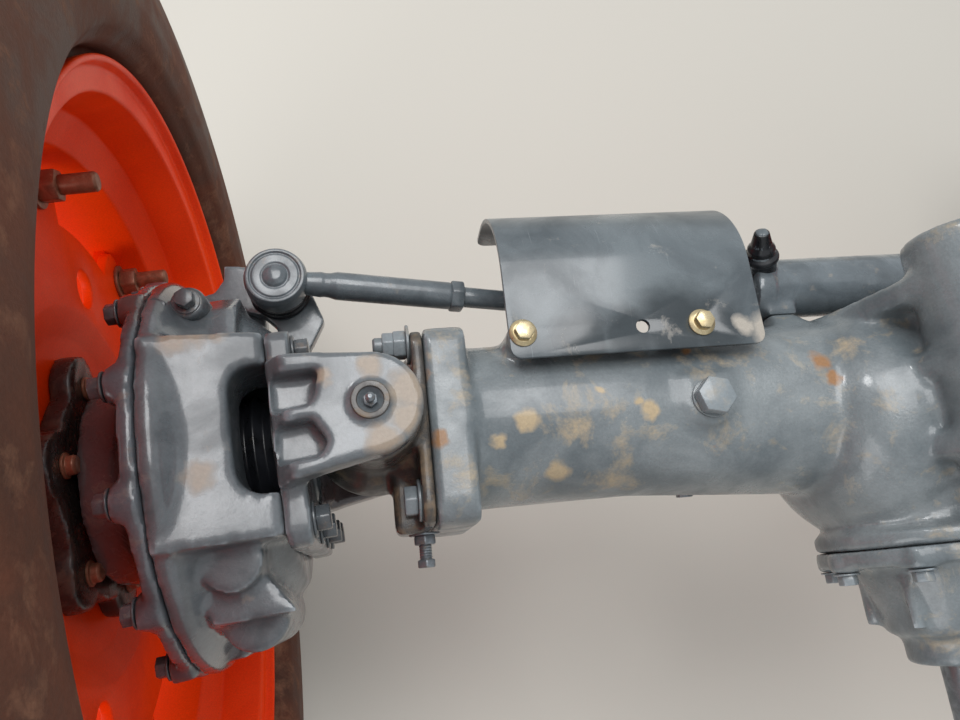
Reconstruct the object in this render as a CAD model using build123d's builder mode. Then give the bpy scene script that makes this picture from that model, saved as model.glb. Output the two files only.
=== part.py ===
from build123d import *
import os
from math import atan2, cos, degrees, hypot, radians, sin, sqrt

# Front drive axle of a farm tractor with both wheels, in millimetres: +X right, +Y forward, +Z up.
# The origin is the middle of the centre pivot bore. Left and right pieces are mirror images, and
# each is drawn on the left side about its own kingpin: local X points inboard, towards the tractor,
# local Z is up from the line of the axle tube, and the wheel points straight ahead.

# Axle beam
KINGPIN_X = 470.0  # kingpin to the tractor's centreline
PIVOT_RISE = 125.0  # centre pivot above the axle tube
TUBE_R = 67.5
FLANGE_X = 42.0  # face of the beam's end flange, inboard of the kingpin
FLANGE_T = 33.0
FLANGE_FRONT_Y = 71.0
FLANGE_BACK_Y = -83.0
FLANGE_HALF_Z = 72.0
FLANGE_CORNER_R = 17.0
FLANGE_DIP = 9.0  # hollow in the flange's front edge, where the tie rod passes
FLANGE_DIP_R = 69.0
FLANGE_BOLT_Y = 61.0
FLANGE_BOLT_Z = 49.0
FLARE_START_X = 205.0  # the tube begins to widen this far from the centreline
FLARE_END_X = 105.0
FLARE_R = 72.0
TAPER_START_X = 277.0  # a second cone, set back, swells the rear of the tube
TAPER_BACK = 8.0
TAPER_R = 58.5  # its radius where it starts, just inside the tube
DIFF_R = 102.0  # housing of the differential
DIFF_BACK = 25.0  # its centre behind the tube's line
DIFF_HALF_X = 42.0
DIFF_END_R = 62.0
PINION_FACE_Y = 132.0  # rear face that the pinion housing bolts to
PINION_FLANGE_R = 92.0
PINION_FLANGE_T = 14.0
PINION_NECK_R = 80.0
PINION_BOLTS = 8
PINION_BOLT_R = 84.0
PINION_BOLT_BOSS_R = 12.0
PINION_BOLT_BOSS_T = 17.0
PINION_NOSE = ((14.0, 66.0), (70.0, 50.0), (74.0, 40.0), (95.0, 40.0))  # (y behind the face, radius)
PINION_RIBS = 6
PINION_RIB_AT_R = 52.0
PINION_RIB_H = 24.0
PINION_RIB_T = 8.0
PIVOT_BORE_R = 25.0
PIVOT_BOSS_R = 44.0
PIVOT_HALF_Y = 100.0
PIVOT_WEB_Y = (-62.0, 0.0, 62.0)
PIVOT_WEB_T = 20.0
PIVOT_FOOT_X = 76.0
INPUT_SHAFT_R = 17.5
INPUT_SHAFT_LENGTH = 50.0
PLUG_PAD_X = 207.0  # pad of the oil filler plug, left of the centreline
PLUG_PAD_Y = -5.0
PLUG_PAD_R = 21.0
PLUG_PAD_RISE = 3.0
DRAIN_BOSS_R = 17.0
DRAIN_BOSS_RISE = 5.0

# Kingpins and the carrier at each end of the beam
BALL_R = 49.0  # round end of the carrier about the kingpin
CARRIER_FLANGE_T = 10.0
CARRIER_INSET = 2.0  # the carrier's flange is this much smaller all round than the beam's
CARRIER_NECK_X = 10.0
CARRIER_NECK_R = 62.0
TRUNNION_R = 36.0
TRUNNION_Z = 92.0
CARRIER_WEB_Z = 88.0  # top of the web where it meets the trunnion
KINGPIN_R = 16.0
KINGPIN_DEPTH = 34.0
RUNNING_FIT = 0.05  # radial clearance of pins and shafts that turn
ARM_GAP = 3.0  # between a kingpin arm and the carrier's trunnion
ARM_T = 25.0
ARM_R = 36.0
ARM_PAD_X = -33.0  # outboard of this line the arm is ribs and pockets
ARM_PAD_Y = (-40.0, 41.0)
ARM_ROOT_Y = (-46.0, 44.0)
ARM_SLOPE_X = 12.0  # the arm's ribs slope down over this length to the yoke flange
ARM_SLOPE_Z = 16.0
POCKET_FLOOR_T = 5.0
POCKETS = (  # corners (x, y) of the two pockets in the top of each arm
    ((-66.0, 29.0), (-31.0, 29.0), (-39.0, 5.0), (-66.0, 4.0)),
    ((-66.0, -5.0), (-40.0, -5.0), (-31.0, -22.0), (-38.0, -31.0), (-66.0, -31.0)),
)
HAUNCH_X = 8.0
HAUNCH_Z = 26.0
CAP_RING_R = 13.5  # ring round the grease nipple on the kingpin
CAP_RING_BORE_R = 8.5
CAP_RING_H = 5.0
STOP_BOSS_X = (12.0, 38.0)  # block on the carrier that holds the steering stop bolt
STOP_BOSS_BACK_Y = -84.0
STOP_BOSS_Z = (2.0, 35.0)

# Knuckle yoke and final drive case
SPLIT_X = -68.0  # joint face between the knuckle yoke and the case
YOKE_FLANGE_T = 18.0
YOKE_FRONT_Y = 71.0
YOKE_BACK_Y = -84.0
YOKE_CORNER_R = 12.0
YOKE_BORE_R = 46.0
WHEEL_DROP = 31.0  # wheel axis below the tube's line
CASE_FACE_X = -149.0  # joint face between the case and its cover
CASE_R = 158.0
CASE_SHOULDER_X = -138.0
CASE_BODY_X = -126.0
CASE_BODY_R = 142.0
CASE_NECK_X = -84.0
CASE_NECK_R = 120.0
CASE_SPLIT_R = 104.0
SADDLE_FRONT_Y = 71.0  # flat top of the case
SADDLE_BACK_Y = -75.0
SADDLE_OUTER_Z = 116.0
SADDLE_INNER_Z = 94.0
CAVITY_R = 56.0
CAVITY_DEPTH = 70.0
WINDOW_X = -95.0
WINDOW_HALF_Y = 45.0
WINDOW_CORNER_R = 18.0
FRONT_BULGE_X = (-125.0, -89.0)
FRONT_BULGE = ((60.0, 88.0), (104.0, 62.0), (126.0, 28.0), (126.0, -50.0), (60.0, -100.0))  # (y, z)
STOP_LUG_TOP = 66.0  # lug on the case that meets the stop bolt
STOP_LUG_T = 22.0
STOP_LUG_Y = (-60.0, -124.0)
STOP_LUG_X = (-126.0, -68.0)
CASE_BOSSES = (  # upright round bosses behind the case: x, y, radius, lowest and highest z
    (-106.0, -84.0, 21.0, -31.0, 82.0),
    (-100.0, -122.0, 24.0, -60.0, 46.0),
)
CASE_HEEL_X = -116.0  # square heel low down behind the case's flange
CASE_HEEL_Y = -150.0
CASE_HEEL_Z = (-74.0, -4.0)
COVER_T = 11.0
COVER_BOLT_R = 149.0
COVER_BOLTS = 12
COVER_BOSS_R = 13.0
COVER_BOSS_T = 19.0
COVER_DISH = ((-160.0, 120.0), (-170.0, 98.0), (-187.0, 80.0))  # (x, radius)
COVER_NOSE_R = 80.0
COVER_NOSE_X = -213.0
COVER_RIBS = 6
COVER_RIB_T = 8.0
DRIVE_JOINT = (  # (x, radius) of the rubber-booted joint in the case's window
    (-138.0, 30.0), (-112.0, 34.0), (-100.0, 48.0), (-92.0, 42.0), (-84.0, 50.0), (-76.0, 42.0),
    (-68.0, 44.0), (-56.0, 38.0),
)

# Steering
STEER_REST = 5.0  # both wheels stand turned this far to the left
STEER_ARM_R = 156.0  # kingpin to the outer ball joint
STEER_ARM_ANGLE = 23.0  # the arm's splay outboard of straight ahead
STEER_PLATE_TOP = -14.0
STEER_PLATE_T = 14.0
STEER_EYE_R = 25.0
STEER_ARM_FRONT = (  # the steering arm's corners (x, y) from the outer ball joint
    (-47.0, 20.0), (-46.0, 33.0), (-8.0, 25.0), (21.0, 15.0), (34.0, -31.0), (17.0, -58.0),
)
STEER_ARM_BACK_GAP = 4.0  # between its back edge and the drum of the case
ARM_LEDGE_X = (-129.0, -78.0)  # ledge on the case that carries the steering arm
ARM_LEDGE_Y = 148.0
ARM_LEDGE_T = 24.0
TIE_ROD_LENGTH = 290.0  # in plan, between the centres of its joints
TIE_Z = 12.0  # outer ball joint above the tube's line
TIE_EYE_R = 11.0
TIE_EYE_T = 14.0
TIE_EYE_GAP = 7.0  # between the tie rod's eye and the lug on the piston rod
BALL_HOUSING_R = 26.5
BALL_HOUSING_TOP = 25.0
BALL_HOUSING_BOTTOM = 1.0
STUD_R = 8.0
STUD_LENGTH = 12.0  # below the steering arm
TIE_ROD = (  # distance along the rod, radius
    (20.0, 8.0), (27.0, 9.5), (44.0, 9.5), (50.0, 12.2), (150.0, 12.2), (150.0, 9.2), (243.0, 9.2),
    (247.0, 7.0), (284.0, 7.0),
)
TIE_NUT_D = (150.0, 162.0)
TIE_NUT_AF = 25.0
BOOT_FOLDS = (  # radius, height below the ball housing
    (20.0, 0.0), (20.0, 4.0), (25.0, 5.5), (24.0, 8.5), (27.0, 10.0), (25.5, 14.7),
)
CYLINDER_Y = 110.0  # steering cylinder ahead of the tube's line
CYLINDER_R = 28.0
CYLINDER_HALF = 120.0
GLAND_R = 31.0
GLAND_T = 16.0
CYLINDER_SEAT_X = 99.0  # the two pads that carry the cylinder
CYLINDER_SEAT_Y = 78.0
CYLINDER_SEAT_W = 28.0
CYLINDER_SEAT_H = 44.0
SEAT_CREST = (36.0, 62.0)  # (y, z) where the seat's sloping top leaves the tube
PISTON_ROD_R = 14.0
ROD_LUG_TOP = -2.0
ROD_LUG_T = 10.0
ROD_LUG_R = 20.0
ROD_LUG_LENGTH = 34.0
PORT_X = 103.0
PORT_LEAN = (0.3, 0.47, 0.83)  # outwards, forward and up
PORT = ((0.0, 13.0), (38.0, 13.0), (39.0, 15.0), (43.0, 15.0), (46.0, 11.0), (54.0, 10.0), (70.0, 6.0))
TIE_FLAT_X = (116.0, 186.0)  # flats on the front of the beam that clear the tie rods' inner ends
TIE_FLAT_Y = 64.0
GUARD_T = 4.0
GUARD_Z = 72.0  # underside of the guard's flat top
GUARD_R = 74.0
GUARD_BEND_Y = 108.0
GUARD_BACK_Y = 36.0
GUARD_SKIRT = 28.0
GUARD_CORNER_R = 9.0
GUARD_X = (108.0, 317.0)  # ends of the left guard, inboard of the kingpin
GUARD_BOLT_X = (119.0, 265.0)
GUARD_BOLT_Y = 56.0
GUARD_HOLE_X = 216.0
GUARD_HOLE_R = 5.5
GUARD_BOSS_R = 12.0

# Wheel
RIM_R = 324.0  # over the rim's flanges
RIM_T = 6.0
RIM_FLANGE_H = 19.0
RIM_WELL_DEPTH = 29.0
RIM_INNER_X = -143.0
RIM_WIDTH = 227.0
TYRE_R = 525.0  # over the lugs
TYRE_WIDTH = 241.0
LUG_HEIGHT = 27.0
LUG_ROOT = 30.0  # the lugs start this far below the tread
LUGS = 19  # on each side of the tread
LUG_TAPER = 6.0  # draft of their sides, in degrees
LUG_OUTLINE = (  # (share of the tyre's half width, distance round the tread)
    (-0.03, -14.0), (0.33, 14.0), (0.87, 52.0), (0.87, 86.0), (0.3, 42.0), (-0.03, 14.0),
)
SEAT_GAP = 0.3  # between the tyre's bead and the rim
HUB_X = -218.0  # inboard face of the hub flange
HUB_T = 18.0
HUB_LOBES = 6
HUB_LOBE_R = 27.0
HUB_LOBE_TURN = 33.0
HUB_BOLT_R = 83.0
HUB_WEB_R = 89.0
HUB_SHAFT_R = 25.0
HUB_SHAFT_LENGTH = 34.0
HUB_SPIGOT_R = 58.0
HUB_SPIGOT_LENGTH = 46.0
DISC_T = 9.0
DISC_BORE_R = 60.0
DISC_DISH = 8.0  # its outer part stands this far inboard of its middle
DISC_BEND_R = (126.0, 151.0)
RIM_LUGS = 8
RIM_LUG_IN = 33.0  # bolts of the rim's lugs, inside the rim's well
RIM_LUG_W = 44.0
RIM_LUG_LENGTH = 62.0
RIM_LUG_T = 12.0
RIM_LUG_TURN = 22.5
DISC_TAB_W = 70.0
DISC_TAB_LAP = 6.0
DISC_HOLES = 4
DISC_HOLE_R = 17.0
DISC_HOLE_AT_R = 178.0

AXLE_Z = -PIVOT_RISE
WHEEL_MID_X = RIM_INNER_X - RIM_WIDTH / 2
BEAD_R = RIM_R - RIM_FLANGE_H
WELL_R = BEAD_R - RIM_WELL_DEPTH
RIM_LUG_R = WELL_R - RIM_LUG_IN


def on_wheel_axis(x):
    """A plane across the left wheel's axis at local x, its normal pointing outboard."""
    return Plane(origin=(x, 0, -WHEEL_DROP), x_dir=(0, 1, 0), z_dir=(-1, 0, 0))


def across_tube(x):
    """A plane across the axle tube at x, with sketch X forward and sketch Y up."""
    return Plane(origin=(x, 0, 0), x_dir=(0, 1, 0), z_dir=(1, 0, 0))


def turned_on_wheel_axis(points, rounds=()):
    """A solid of revolution about the wheel axis, from (x, radius) corners.

    rounds lists corners to be rounded as (index of the corner, radius of the round)."""
    with BuildPart() as ring:
        with BuildSketch(Plane.XZ) as section:
            with BuildLine():
                Polyline(*[(x, r - WHEEL_DROP) for x, r in points], close=True)
            make_face()
            for corner, round_r in rounds:
                x, r = points[corner]
                fillet(section.vertices().sort_by_distance((x, r - WHEEL_DROP))[0], round_r)
        revolve(axis=Axis((0, 0, -WHEEL_DROP), (1, 0, 0)))
    return ring.part


def end_flange(x, inset, thickness):
    """The outline of the beam's end flange as a plate from x, with the dip in its front edge."""
    with BuildPart() as plate:
        with BuildSketch(across_tube(x)):
            with Locations(((FLANGE_FRONT_Y + FLANGE_BACK_Y) / 2, 0)):
                RectangleRounded(
                    FLANGE_FRONT_Y - FLANGE_BACK_Y - 2 * inset, 2 * (FLANGE_HALF_Z - inset),
                    FLANGE_CORNER_R - inset,
                )
            with Locations((FLANGE_FRONT_Y - FLANGE_DIP + FLANGE_DIP_R, 0)):
                Circle(FLANGE_DIP_R + inset, mode=Mode.SUBTRACT)
        extrude(amount=thickness)
    return plate.part


# Axle beam: tube, flares, differential housing, end flanges, pivot boss and pads
flange_out_x = KINGPIN_X - FLANGE_X
end_flanges = [end_flange(x, 0, FLANGE_T) for x in (-flange_out_x, flange_out_x - FLANGE_T)]
with BuildPart() as axle_housing:
    with BuildSketch(Plane.XZ):
        with BuildLine():
            Polyline(
                (-flange_out_x, 0), (-flange_out_x, TUBE_R), (-FLARE_START_X, TUBE_R),
                (-FLARE_END_X, FLARE_R), (FLARE_END_X, FLARE_R), (FLARE_START_X, TUBE_R),
                (flange_out_x, TUBE_R), (flange_out_x, 0), close=True,
            )
        make_face()
    revolve(axis=Axis.X)
    with BuildSketch(Plane.XZ.offset(TAPER_BACK)):
        with BuildLine():
            Polyline(
                (-TAPER_START_X, 0), (-TAPER_START_X, TAPER_R), (-FLARE_END_X, FLARE_R),
                (FLARE_END_X, FLARE_R), (TAPER_START_X, TAPER_R), (TAPER_START_X, 0), close=True,
            )
        make_face()
    revolve(axis=Axis((0, -TAPER_BACK, 0), (1, 0, 0)))
    with BuildSketch(Plane.XZ.offset(DIFF_BACK)):
        with BuildLine():
            for side in (-1, 1):
                Line((side * FLARE_END_X, 0), (side * FLARE_END_X, DIFF_END_R))
                TangentArc(
                    (side * DIFF_HALF_X, DIFF_R), (side * FLARE_END_X, DIFF_END_R), tangent=(side, 0),
                )
            Line((-DIFF_HALF_X, DIFF_R), (DIFF_HALF_X, DIFF_R))
            Line((-FLARE_END_X, 0), (FLARE_END_X, 0))
        make_face()
    revolve(axis=Axis((0, -DIFF_BACK, 0), (1, 0, 0)))
    with BuildSketch(Plane.XZ.offset(DIFF_BACK)):
        Circle(PINION_NECK_R)
    extrude(amount=PINION_FACE_Y - DIFF_BACK)
    with BuildSketch(Plane.XZ.offset(PINION_FACE_Y)):
        Circle(PINION_FLANGE_R)
    extrude(amount=-PINION_FLANGE_T)
    with BuildSketch(Plane.XY.offset(-DIFF_R - DRAIN_BOSS_RISE)):
        with Locations((0, -DIFF_BACK)):
            Circle(DRAIN_BOSS_R)
    extrude(amount=DIFF_R / 2)
    with BuildSketch(Plane.XY.offset(TUBE_R + PLUG_PAD_RISE)):
        with Locations((-PLUG_PAD_X, PLUG_PAD_Y)):
            Circle(PLUG_PAD_R)
            with Locations((PLUG_PAD_R / 2, PLUG_PAD_R / 2), (-PLUG_PAD_R / 2, PLUG_PAD_R / 2)):
                Rectangle(PLUG_PAD_R, PLUG_PAD_R)
    extrude(amount=-TUBE_R / 2)
    add(end_flanges)
    for side in (-1, 1):
        with BuildSketch(across_tube(side * CYLINDER_SEAT_X)):
            with BuildLine():
                Polyline(
                    (0, 0), (0, SEAT_CREST[1]), SEAT_CREST, (CYLINDER_SEAT_Y, CYLINDER_SEAT_H / 2),
                    (CYLINDER_SEAT_Y, -CYLINDER_SEAT_H / 2), (0, -CYLINDER_SEAT_H), close=True,
                )
            make_face()
        extrude(amount=CYLINDER_SEAT_W / 2, both=True)
        for x in GUARD_BOLT_X:
            with BuildSketch(Plane.XY.offset(GUARD_Z)):
                with Locations((side * (KINGPIN_X - x), GUARD_BOLT_Y)):
                    Circle(GUARD_BOSS_R)
            extrude(amount=-GUARD_Z)
        with BuildSketch(Plane.XZ.offset(-TIE_FLAT_Y)):
            with Locations((side * (TIE_FLAT_X[0] + TIE_FLAT_X[1]) / 2, 0)):
                Rectangle(TIE_FLAT_X[1] - TIE_FLAT_X[0], 2 * FLARE_R)
        extrude(amount=-FLARE_R, mode=Mode.SUBTRACT)
    for y in PIVOT_WEB_Y:
        with BuildSketch(Plane.XZ.offset(-y)):
            with BuildLine():
                Polyline(
                    (-PIVOT_FOOT_X, 0), (-PIVOT_BOSS_R, PIVOT_RISE), (PIVOT_BOSS_R, PIVOT_RISE),
                    (PIVOT_FOOT_X, 0), close=True,
                )
            make_face()
        extrude(amount=PIVOT_WEB_T / 2, both=True)
    with BuildSketch(Plane.XZ.offset(-PIVOT_HALF_Y)):
        with Locations((0, PIVOT_RISE)):
            Circle(PIVOT_BOSS_R)
    extrude(amount=2 * PIVOT_HALF_Y)
    with BuildSketch(Plane.XY.offset(PIVOT_RISE)):
        with Locations((0, -DIFF_BACK / 2)):
            Rectangle(PIVOT_BOSS_R, 2 * PIVOT_HALF_Y - 2 * DIFF_BACK)
    extrude(amount=-PIVOT_RISE)
    with BuildSketch(Plane.XZ.offset(-PIVOT_HALF_Y)):
        with Locations((0, PIVOT_RISE)):
            Circle(PIVOT_BORE_R)
    extrude(amount=2 * PIVOT_HALF_Y, mode=Mode.SUBTRACT)

# Pinion housing with its ribs, and the input shaft
pinion_end_y = PINION_FACE_Y + PINION_NOSE[-1][0]
with BuildPart() as pinion_housing:
    with BuildSketch(Plane.XY):
        with BuildLine():
            Polyline(
                (0, -PINION_FACE_Y), (PINION_FLANGE_R, -PINION_FACE_Y),
                (PINION_FLANGE_R, -PINION_FACE_Y - PINION_FLANGE_T),
                *[(r, -PINION_FACE_Y - y) for y, r in PINION_NOSE], (0, -pinion_end_y), close=True,
            )
        make_face()
    revolve(axis=Axis.Y)
    with BuildSketch(Plane.XZ.offset(PINION_FACE_Y)):
        with PolarLocations(PINION_BOLT_R, PINION_BOLTS):
            Circle(PINION_BOLT_BOSS_R)
    extrude(amount=PINION_BOLT_BOSS_T)
    with BuildSketch(Plane.XZ.offset(PINION_FACE_Y + PINION_FLANGE_T)):
        with PolarLocations(PINION_RIB_AT_R, PINION_RIBS, start_angle=90):
            Rectangle(PINION_RIB_H, PINION_RIB_T)
    extrude(amount=PINION_NOSE[1][0] - 1.5 * PINION_FLANGE_T)

with BuildPart() as input_shaft:
    with BuildSketch(Plane.XZ.offset(pinion_end_y)):
        Circle(INPUT_SHAFT_R)
    extrude(amount=INPUT_SHAFT_LENGTH)
    chamfer(input_shaft.faces().sort_by(Axis.Y)[0].edges(), 2)

# Kingpin carrier bolted to the beam's end flange
carrier_flange = end_flange(FLANGE_X - CARRIER_FLANGE_T, CARRIER_INSET, CARRIER_FLANGE_T)
with BuildPart() as kingpin_carrier:
    ball_join = (CARRIER_NECK_X, sqrt(BALL_R**2 - CARRIER_NECK_X**2))
    with BuildSketch(Plane.XZ):
        with BuildLine():
            Polyline(
                (-BALL_R, 0), (FLANGE_X, 0), (FLANGE_X, CARRIER_NECK_R),
                (FLANGE_X - CARRIER_FLANGE_T, CARRIER_NECK_R), ball_join,
            )
            ThreePointArc(
                ball_join, (-BALL_R * cos(radians(45)), BALL_R * sin(radians(45))), (-BALL_R, 0),
            )
        make_face()
    revolve(axis=Axis.X)
    with BuildSketch(Plane.XY.offset(-TRUNNION_Z)):
        Circle(TRUNNION_R)
    extrude(amount=2 * TRUNNION_Z)
    add(carrier_flange)
    with BuildSketch(Plane.XZ):
        with BuildLine():
            web_x = FLANGE_X - CARRIER_FLANGE_T / 2
            web_z = FLANGE_HALF_Z - 2 * CARRIER_INSET
            Polyline(
                (0, -CARRIER_WEB_Z), (web_x, -web_z), (web_x, web_z), (0, CARRIER_WEB_Z), close=True,
            )
        make_face()
    extrude(amount=CARRIER_FLANGE_T, both=True)
    with BuildSketch(Plane.XY.offset(STOP_BOSS_Z[0])):
        with Locations(((STOP_BOSS_X[0] + STOP_BOSS_X[1]) / 2, (STOP_BOSS_BACK_Y - BALL_R / 2) / 2)):
            RectangleRounded(
                STOP_BOSS_X[1] - STOP_BOSS_X[0], -STOP_BOSS_BACK_Y - BALL_R / 2, CARRIER_FLANGE_T / 2,
            )
    extrude(amount=STOP_BOSS_Z[1] - STOP_BOSS_Z[0])
    for z in (-TRUNNION_Z, TRUNNION_Z - KINGPIN_DEPTH):
        with BuildSketch(Plane.XY.offset(z)):
            Circle(KINGPIN_R + RUNNING_FIT)
        extrude(amount=KINGPIN_DEPTH, mode=Mode.SUBTRACT)

# Knuckle yoke: the flange on the case, two pocketed arms and the kingpins that are one with them
arm_bottom = TRUNNION_Z + ARM_GAP
arm_top = arm_bottom + ARM_T
yoke_in_x = SPLIT_X + YOKE_FLANGE_T
with BuildPart() as knuckle_yoke:
    with BuildSketch(across_tube(SPLIT_X)):
        with Locations(((YOKE_FRONT_Y + YOKE_BACK_Y) / 2, 0)):
            RectangleRounded(YOKE_FRONT_Y - YOKE_BACK_Y, 2 * arm_bottom, YOKE_CORNER_R)
        Circle(YOKE_BORE_R, mode=Mode.SUBTRACT)
    extrude(amount=YOKE_FLANGE_T)
    for up in (1, -1):
        with BuildSketch(Plane.XY.offset(up * arm_bottom)):
            with BuildLine():
                Polyline(
                    (SPLIT_X, ARM_ROOT_Y[0]), (ARM_PAD_X, ARM_PAD_Y[0]), (0, -ARM_R), (0, ARM_R),
                    (ARM_PAD_X, ARM_PAD_Y[1]), (SPLIT_X, ARM_ROOT_Y[1]), close=True,
                )
            make_face()
            Circle(ARM_R)
        extrude(amount=up * ARM_T)
        for corners in POCKETS:
            with BuildSketch(Plane.XY.offset(up * arm_top)):
                with BuildLine():
                    Polyline(*corners, close=True)
                make_face()
            extrude(amount=-up * (ARM_T - POCKET_FLOOR_T), mode=Mode.SUBTRACT)
        with BuildSketch(Plane.XZ):
            with BuildLine():
                Polyline(
                    (SPLIT_X, up * arm_top), (SPLIT_X + ARM_SLOPE_X, up * arm_top),
                    (SPLIT_X, up * (arm_top - ARM_SLOPE_Z)), close=True,
                )
            make_face()
        extrude(amount=YOKE_FRONT_Y, both=True, mode=Mode.SUBTRACT)
        with BuildSketch(Plane.XZ):
            with BuildLine():
                Polyline(
                    (yoke_in_x, up * arm_bottom), (yoke_in_x + HAUNCH_X, up * arm_bottom),
                    (yoke_in_x, up * (arm_bottom - HAUNCH_Z)), close=True,
                )
            make_face()
        extrude(amount=ARM_R, both=True)
        with BuildSketch(Plane.XY.offset(up * arm_bottom)):
            Circle(KINGPIN_R)
        extrude(amount=-up * (KINGPIN_DEPTH - 2))
        with BuildSketch(Plane.XY.offset(up * (arm_top - CAP_RING_H))):
            Circle(CAP_RING_R)
        extrude(amount=up * 2 * CAP_RING_H)
        with BuildSketch(Plane.XY.offset(up * (arm_top + CAP_RING_H))):
            Circle(CAP_RING_BORE_R)
        extrude(amount=-up * CAP_RING_H, mode=Mode.SUBTRACT)

# Final drive case: drum on the wheel axis, flat saddle on top, cavity and window for the joint
case_drum = turned_on_wheel_axis(
    [
        (CASE_FACE_X, 0), (CASE_FACE_X, CASE_R), (CASE_SHOULDER_X, CASE_R),
        (CASE_BODY_X, CASE_BODY_R), (CASE_NECK_X, CASE_NECK_R), (SPLIT_X, CASE_SPLIT_R), (SPLIT_X, 0),
    ],
    rounds=((2, 7.0), (3, 9.0), (4, 16.0)),
)
with BuildPart() as final_case:
    add(case_drum)
    with BuildSketch(Plane.XZ.offset(-(SADDLE_FRONT_Y + SADDLE_BACK_Y) / 2)):
        with BuildLine():
            Polyline(
                (CASE_FACE_X, SADDLE_OUTER_Z), (SPLIT_X, SADDLE_INNER_Z), (SPLIT_X, -arm_bottom),
                (CASE_FACE_X, -CASE_R), close=True,
            )
        make_face()
    extrude(amount=(SADDLE_FRONT_Y - SADDLE_BACK_Y) / 2, both=True)
    with BuildSketch(across_tube(FRONT_BULGE_X[0])):
        with BuildLine():
            Polyline(*FRONT_BULGE, close=True)
        make_face()
    extrude(amount=FRONT_BULGE_X[1] - FRONT_BULGE_X[0])
    with BuildSketch(Plane.XY.offset(STEER_PLATE_TOP - STEER_PLATE_T)):
        with Locations(((ARM_LEDGE_X[0] + ARM_LEDGE_X[1]) / 2, ARM_LEDGE_Y / 2)):
            RectangleRounded(ARM_LEDGE_X[1] - ARM_LEDGE_X[0], ARM_LEDGE_Y, ARM_LEDGE_T / 3)
    extrude(amount=-ARM_LEDGE_T)
    with BuildSketch(Plane.XY.offset(STOP_LUG_TOP)):
        with BuildLine():
            Polyline(
                (STOP_LUG_X[0], STOP_LUG_Y[0]), (STOP_LUG_X[0], STOP_LUG_Y[1]),
                (STOP_LUG_X[1], STOP_LUG_Y[1]), (STOP_LUG_X[1] - 24, STOP_LUG_Y[1] + 36),
                (STOP_LUG_X[1] - 24, STOP_LUG_Y[0]), close=True,
            )
        make_face()
    extrude(amount=-STOP_LUG_T)
    for x, y, r, low, high in CASE_BOSSES:
        with BuildSketch(Plane.XY.offset(low)):
            with Locations((x, y)):
                Circle(r)
        extrude(amount=high - low)
    with BuildSketch(Plane.XY.offset(CASE_HEEL_Z[0])):
        with Locations(((CASE_FACE_X + CASE_HEEL_X) / 2, CASE_HEEL_Y / 2)):
            Rectangle(CASE_HEEL_X - CASE_FACE_X, -CASE_HEEL_Y)
    extrude(amount=CASE_HEEL_Z[1] - CASE_HEEL_Z[0])
    with BuildSketch(across_tube(SPLIT_X)):
        Circle(CAVITY_R)
    extrude(amount=-CAVITY_DEPTH, mode=Mode.SUBTRACT)
    with BuildSketch(Plane.XY):
        with Locations((SPLIT_X, 0)):
            RectangleRounded(2 * (SPLIT_X - WINDOW_X), 2 * WINDOW_HALF_Y, WINDOW_CORNER_R)
    extrude(amount=CASE_R, mode=Mode.SUBTRACT)

# Cover with its ring of bolt bosses, its ribs and the bearing nose
cover_dish = turned_on_wheel_axis([
    (CASE_FACE_X, 0), (CASE_FACE_X, CASE_R), (CASE_FACE_X - COVER_T, CASE_R), *COVER_DISH,
    (COVER_NOSE_X, COVER_NOSE_R), (COVER_NOSE_X, 0),
])
with BuildPart() as case_cover:
    add(cover_dish)
    with BuildSketch(on_wheel_axis(CASE_FACE_X)):
        with PolarLocations(COVER_BOLT_R, COVER_BOLTS, start_angle=180 / COVER_BOLTS):
            Circle(COVER_BOSS_R)
    extrude(amount=COVER_BOSS_T)
    rib_r = (COVER_NOSE_R + COVER_BOLT_R) / 2
    with BuildSketch(on_wheel_axis(CASE_FACE_X)):
        with PolarLocations(rib_r, COVER_RIBS, start_angle=180 / COVER_BOLTS):
            Rectangle(COVER_BOLT_R - COVER_NOSE_R, COVER_RIB_T)
    extrude(amount=COVER_BOSS_T)
    with BuildSketch(on_wheel_axis(COVER_NOSE_X)):
        Circle(HUB_SHAFT_R)
    extrude(amount=-HUB_SHAFT_LENGTH, mode=Mode.SUBTRACT)

# Drive joint seen through the case's window
with BuildPart() as drive_joint:
    with BuildSketch(Plane.XZ):
        with BuildLine():
            Polyline((DRIVE_JOINT[0][0], 0), *DRIVE_JOINT, (DRIVE_JOINT[-1][0], 0), close=True)
        make_face()
    revolve(axis=Axis.X)

# Steering arm on the ledge at the front of the case
ball_x = -STEER_ARM_R * sin(radians(STEER_ARM_ANGLE))
ball_y = STEER_ARM_R * cos(radians(STEER_ARM_ANGLE))
with BuildPart() as steering_arm:
    with BuildSketch(Plane.XY.offset(STEER_PLATE_TOP)):
        with BuildLine():
            Polyline(
                (ARM_LEDGE_X[0], CASE_BODY_R + STEER_ARM_BACK_GAP), (ARM_LEDGE_X[0], ball_y + 6),
                (ball_x + STEER_ARM_FRONT[0][0] - 9, ball_y + 8),
                *[(ball_x + x, ball_y + y) for x, y in STEER_ARM_FRONT],
                (SPLIT_X, ball_y + STEER_ARM_FRONT[-1][1]),
                (SPLIT_X, CASE_SPLIT_R + 2 * STEER_ARM_BACK_GAP),
                (ARM_LEDGE_X[1], CASE_NECK_R + STEER_ARM_BACK_GAP), close=True,
            )
        make_face()
        with Locations((ball_x, ball_y)):
            Circle(STEER_EYE_R)
            Circle(STUD_R + RUNNING_FIT, mode=Mode.SUBTRACT)
    extrude(amount=-STEER_PLATE_T)

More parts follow.
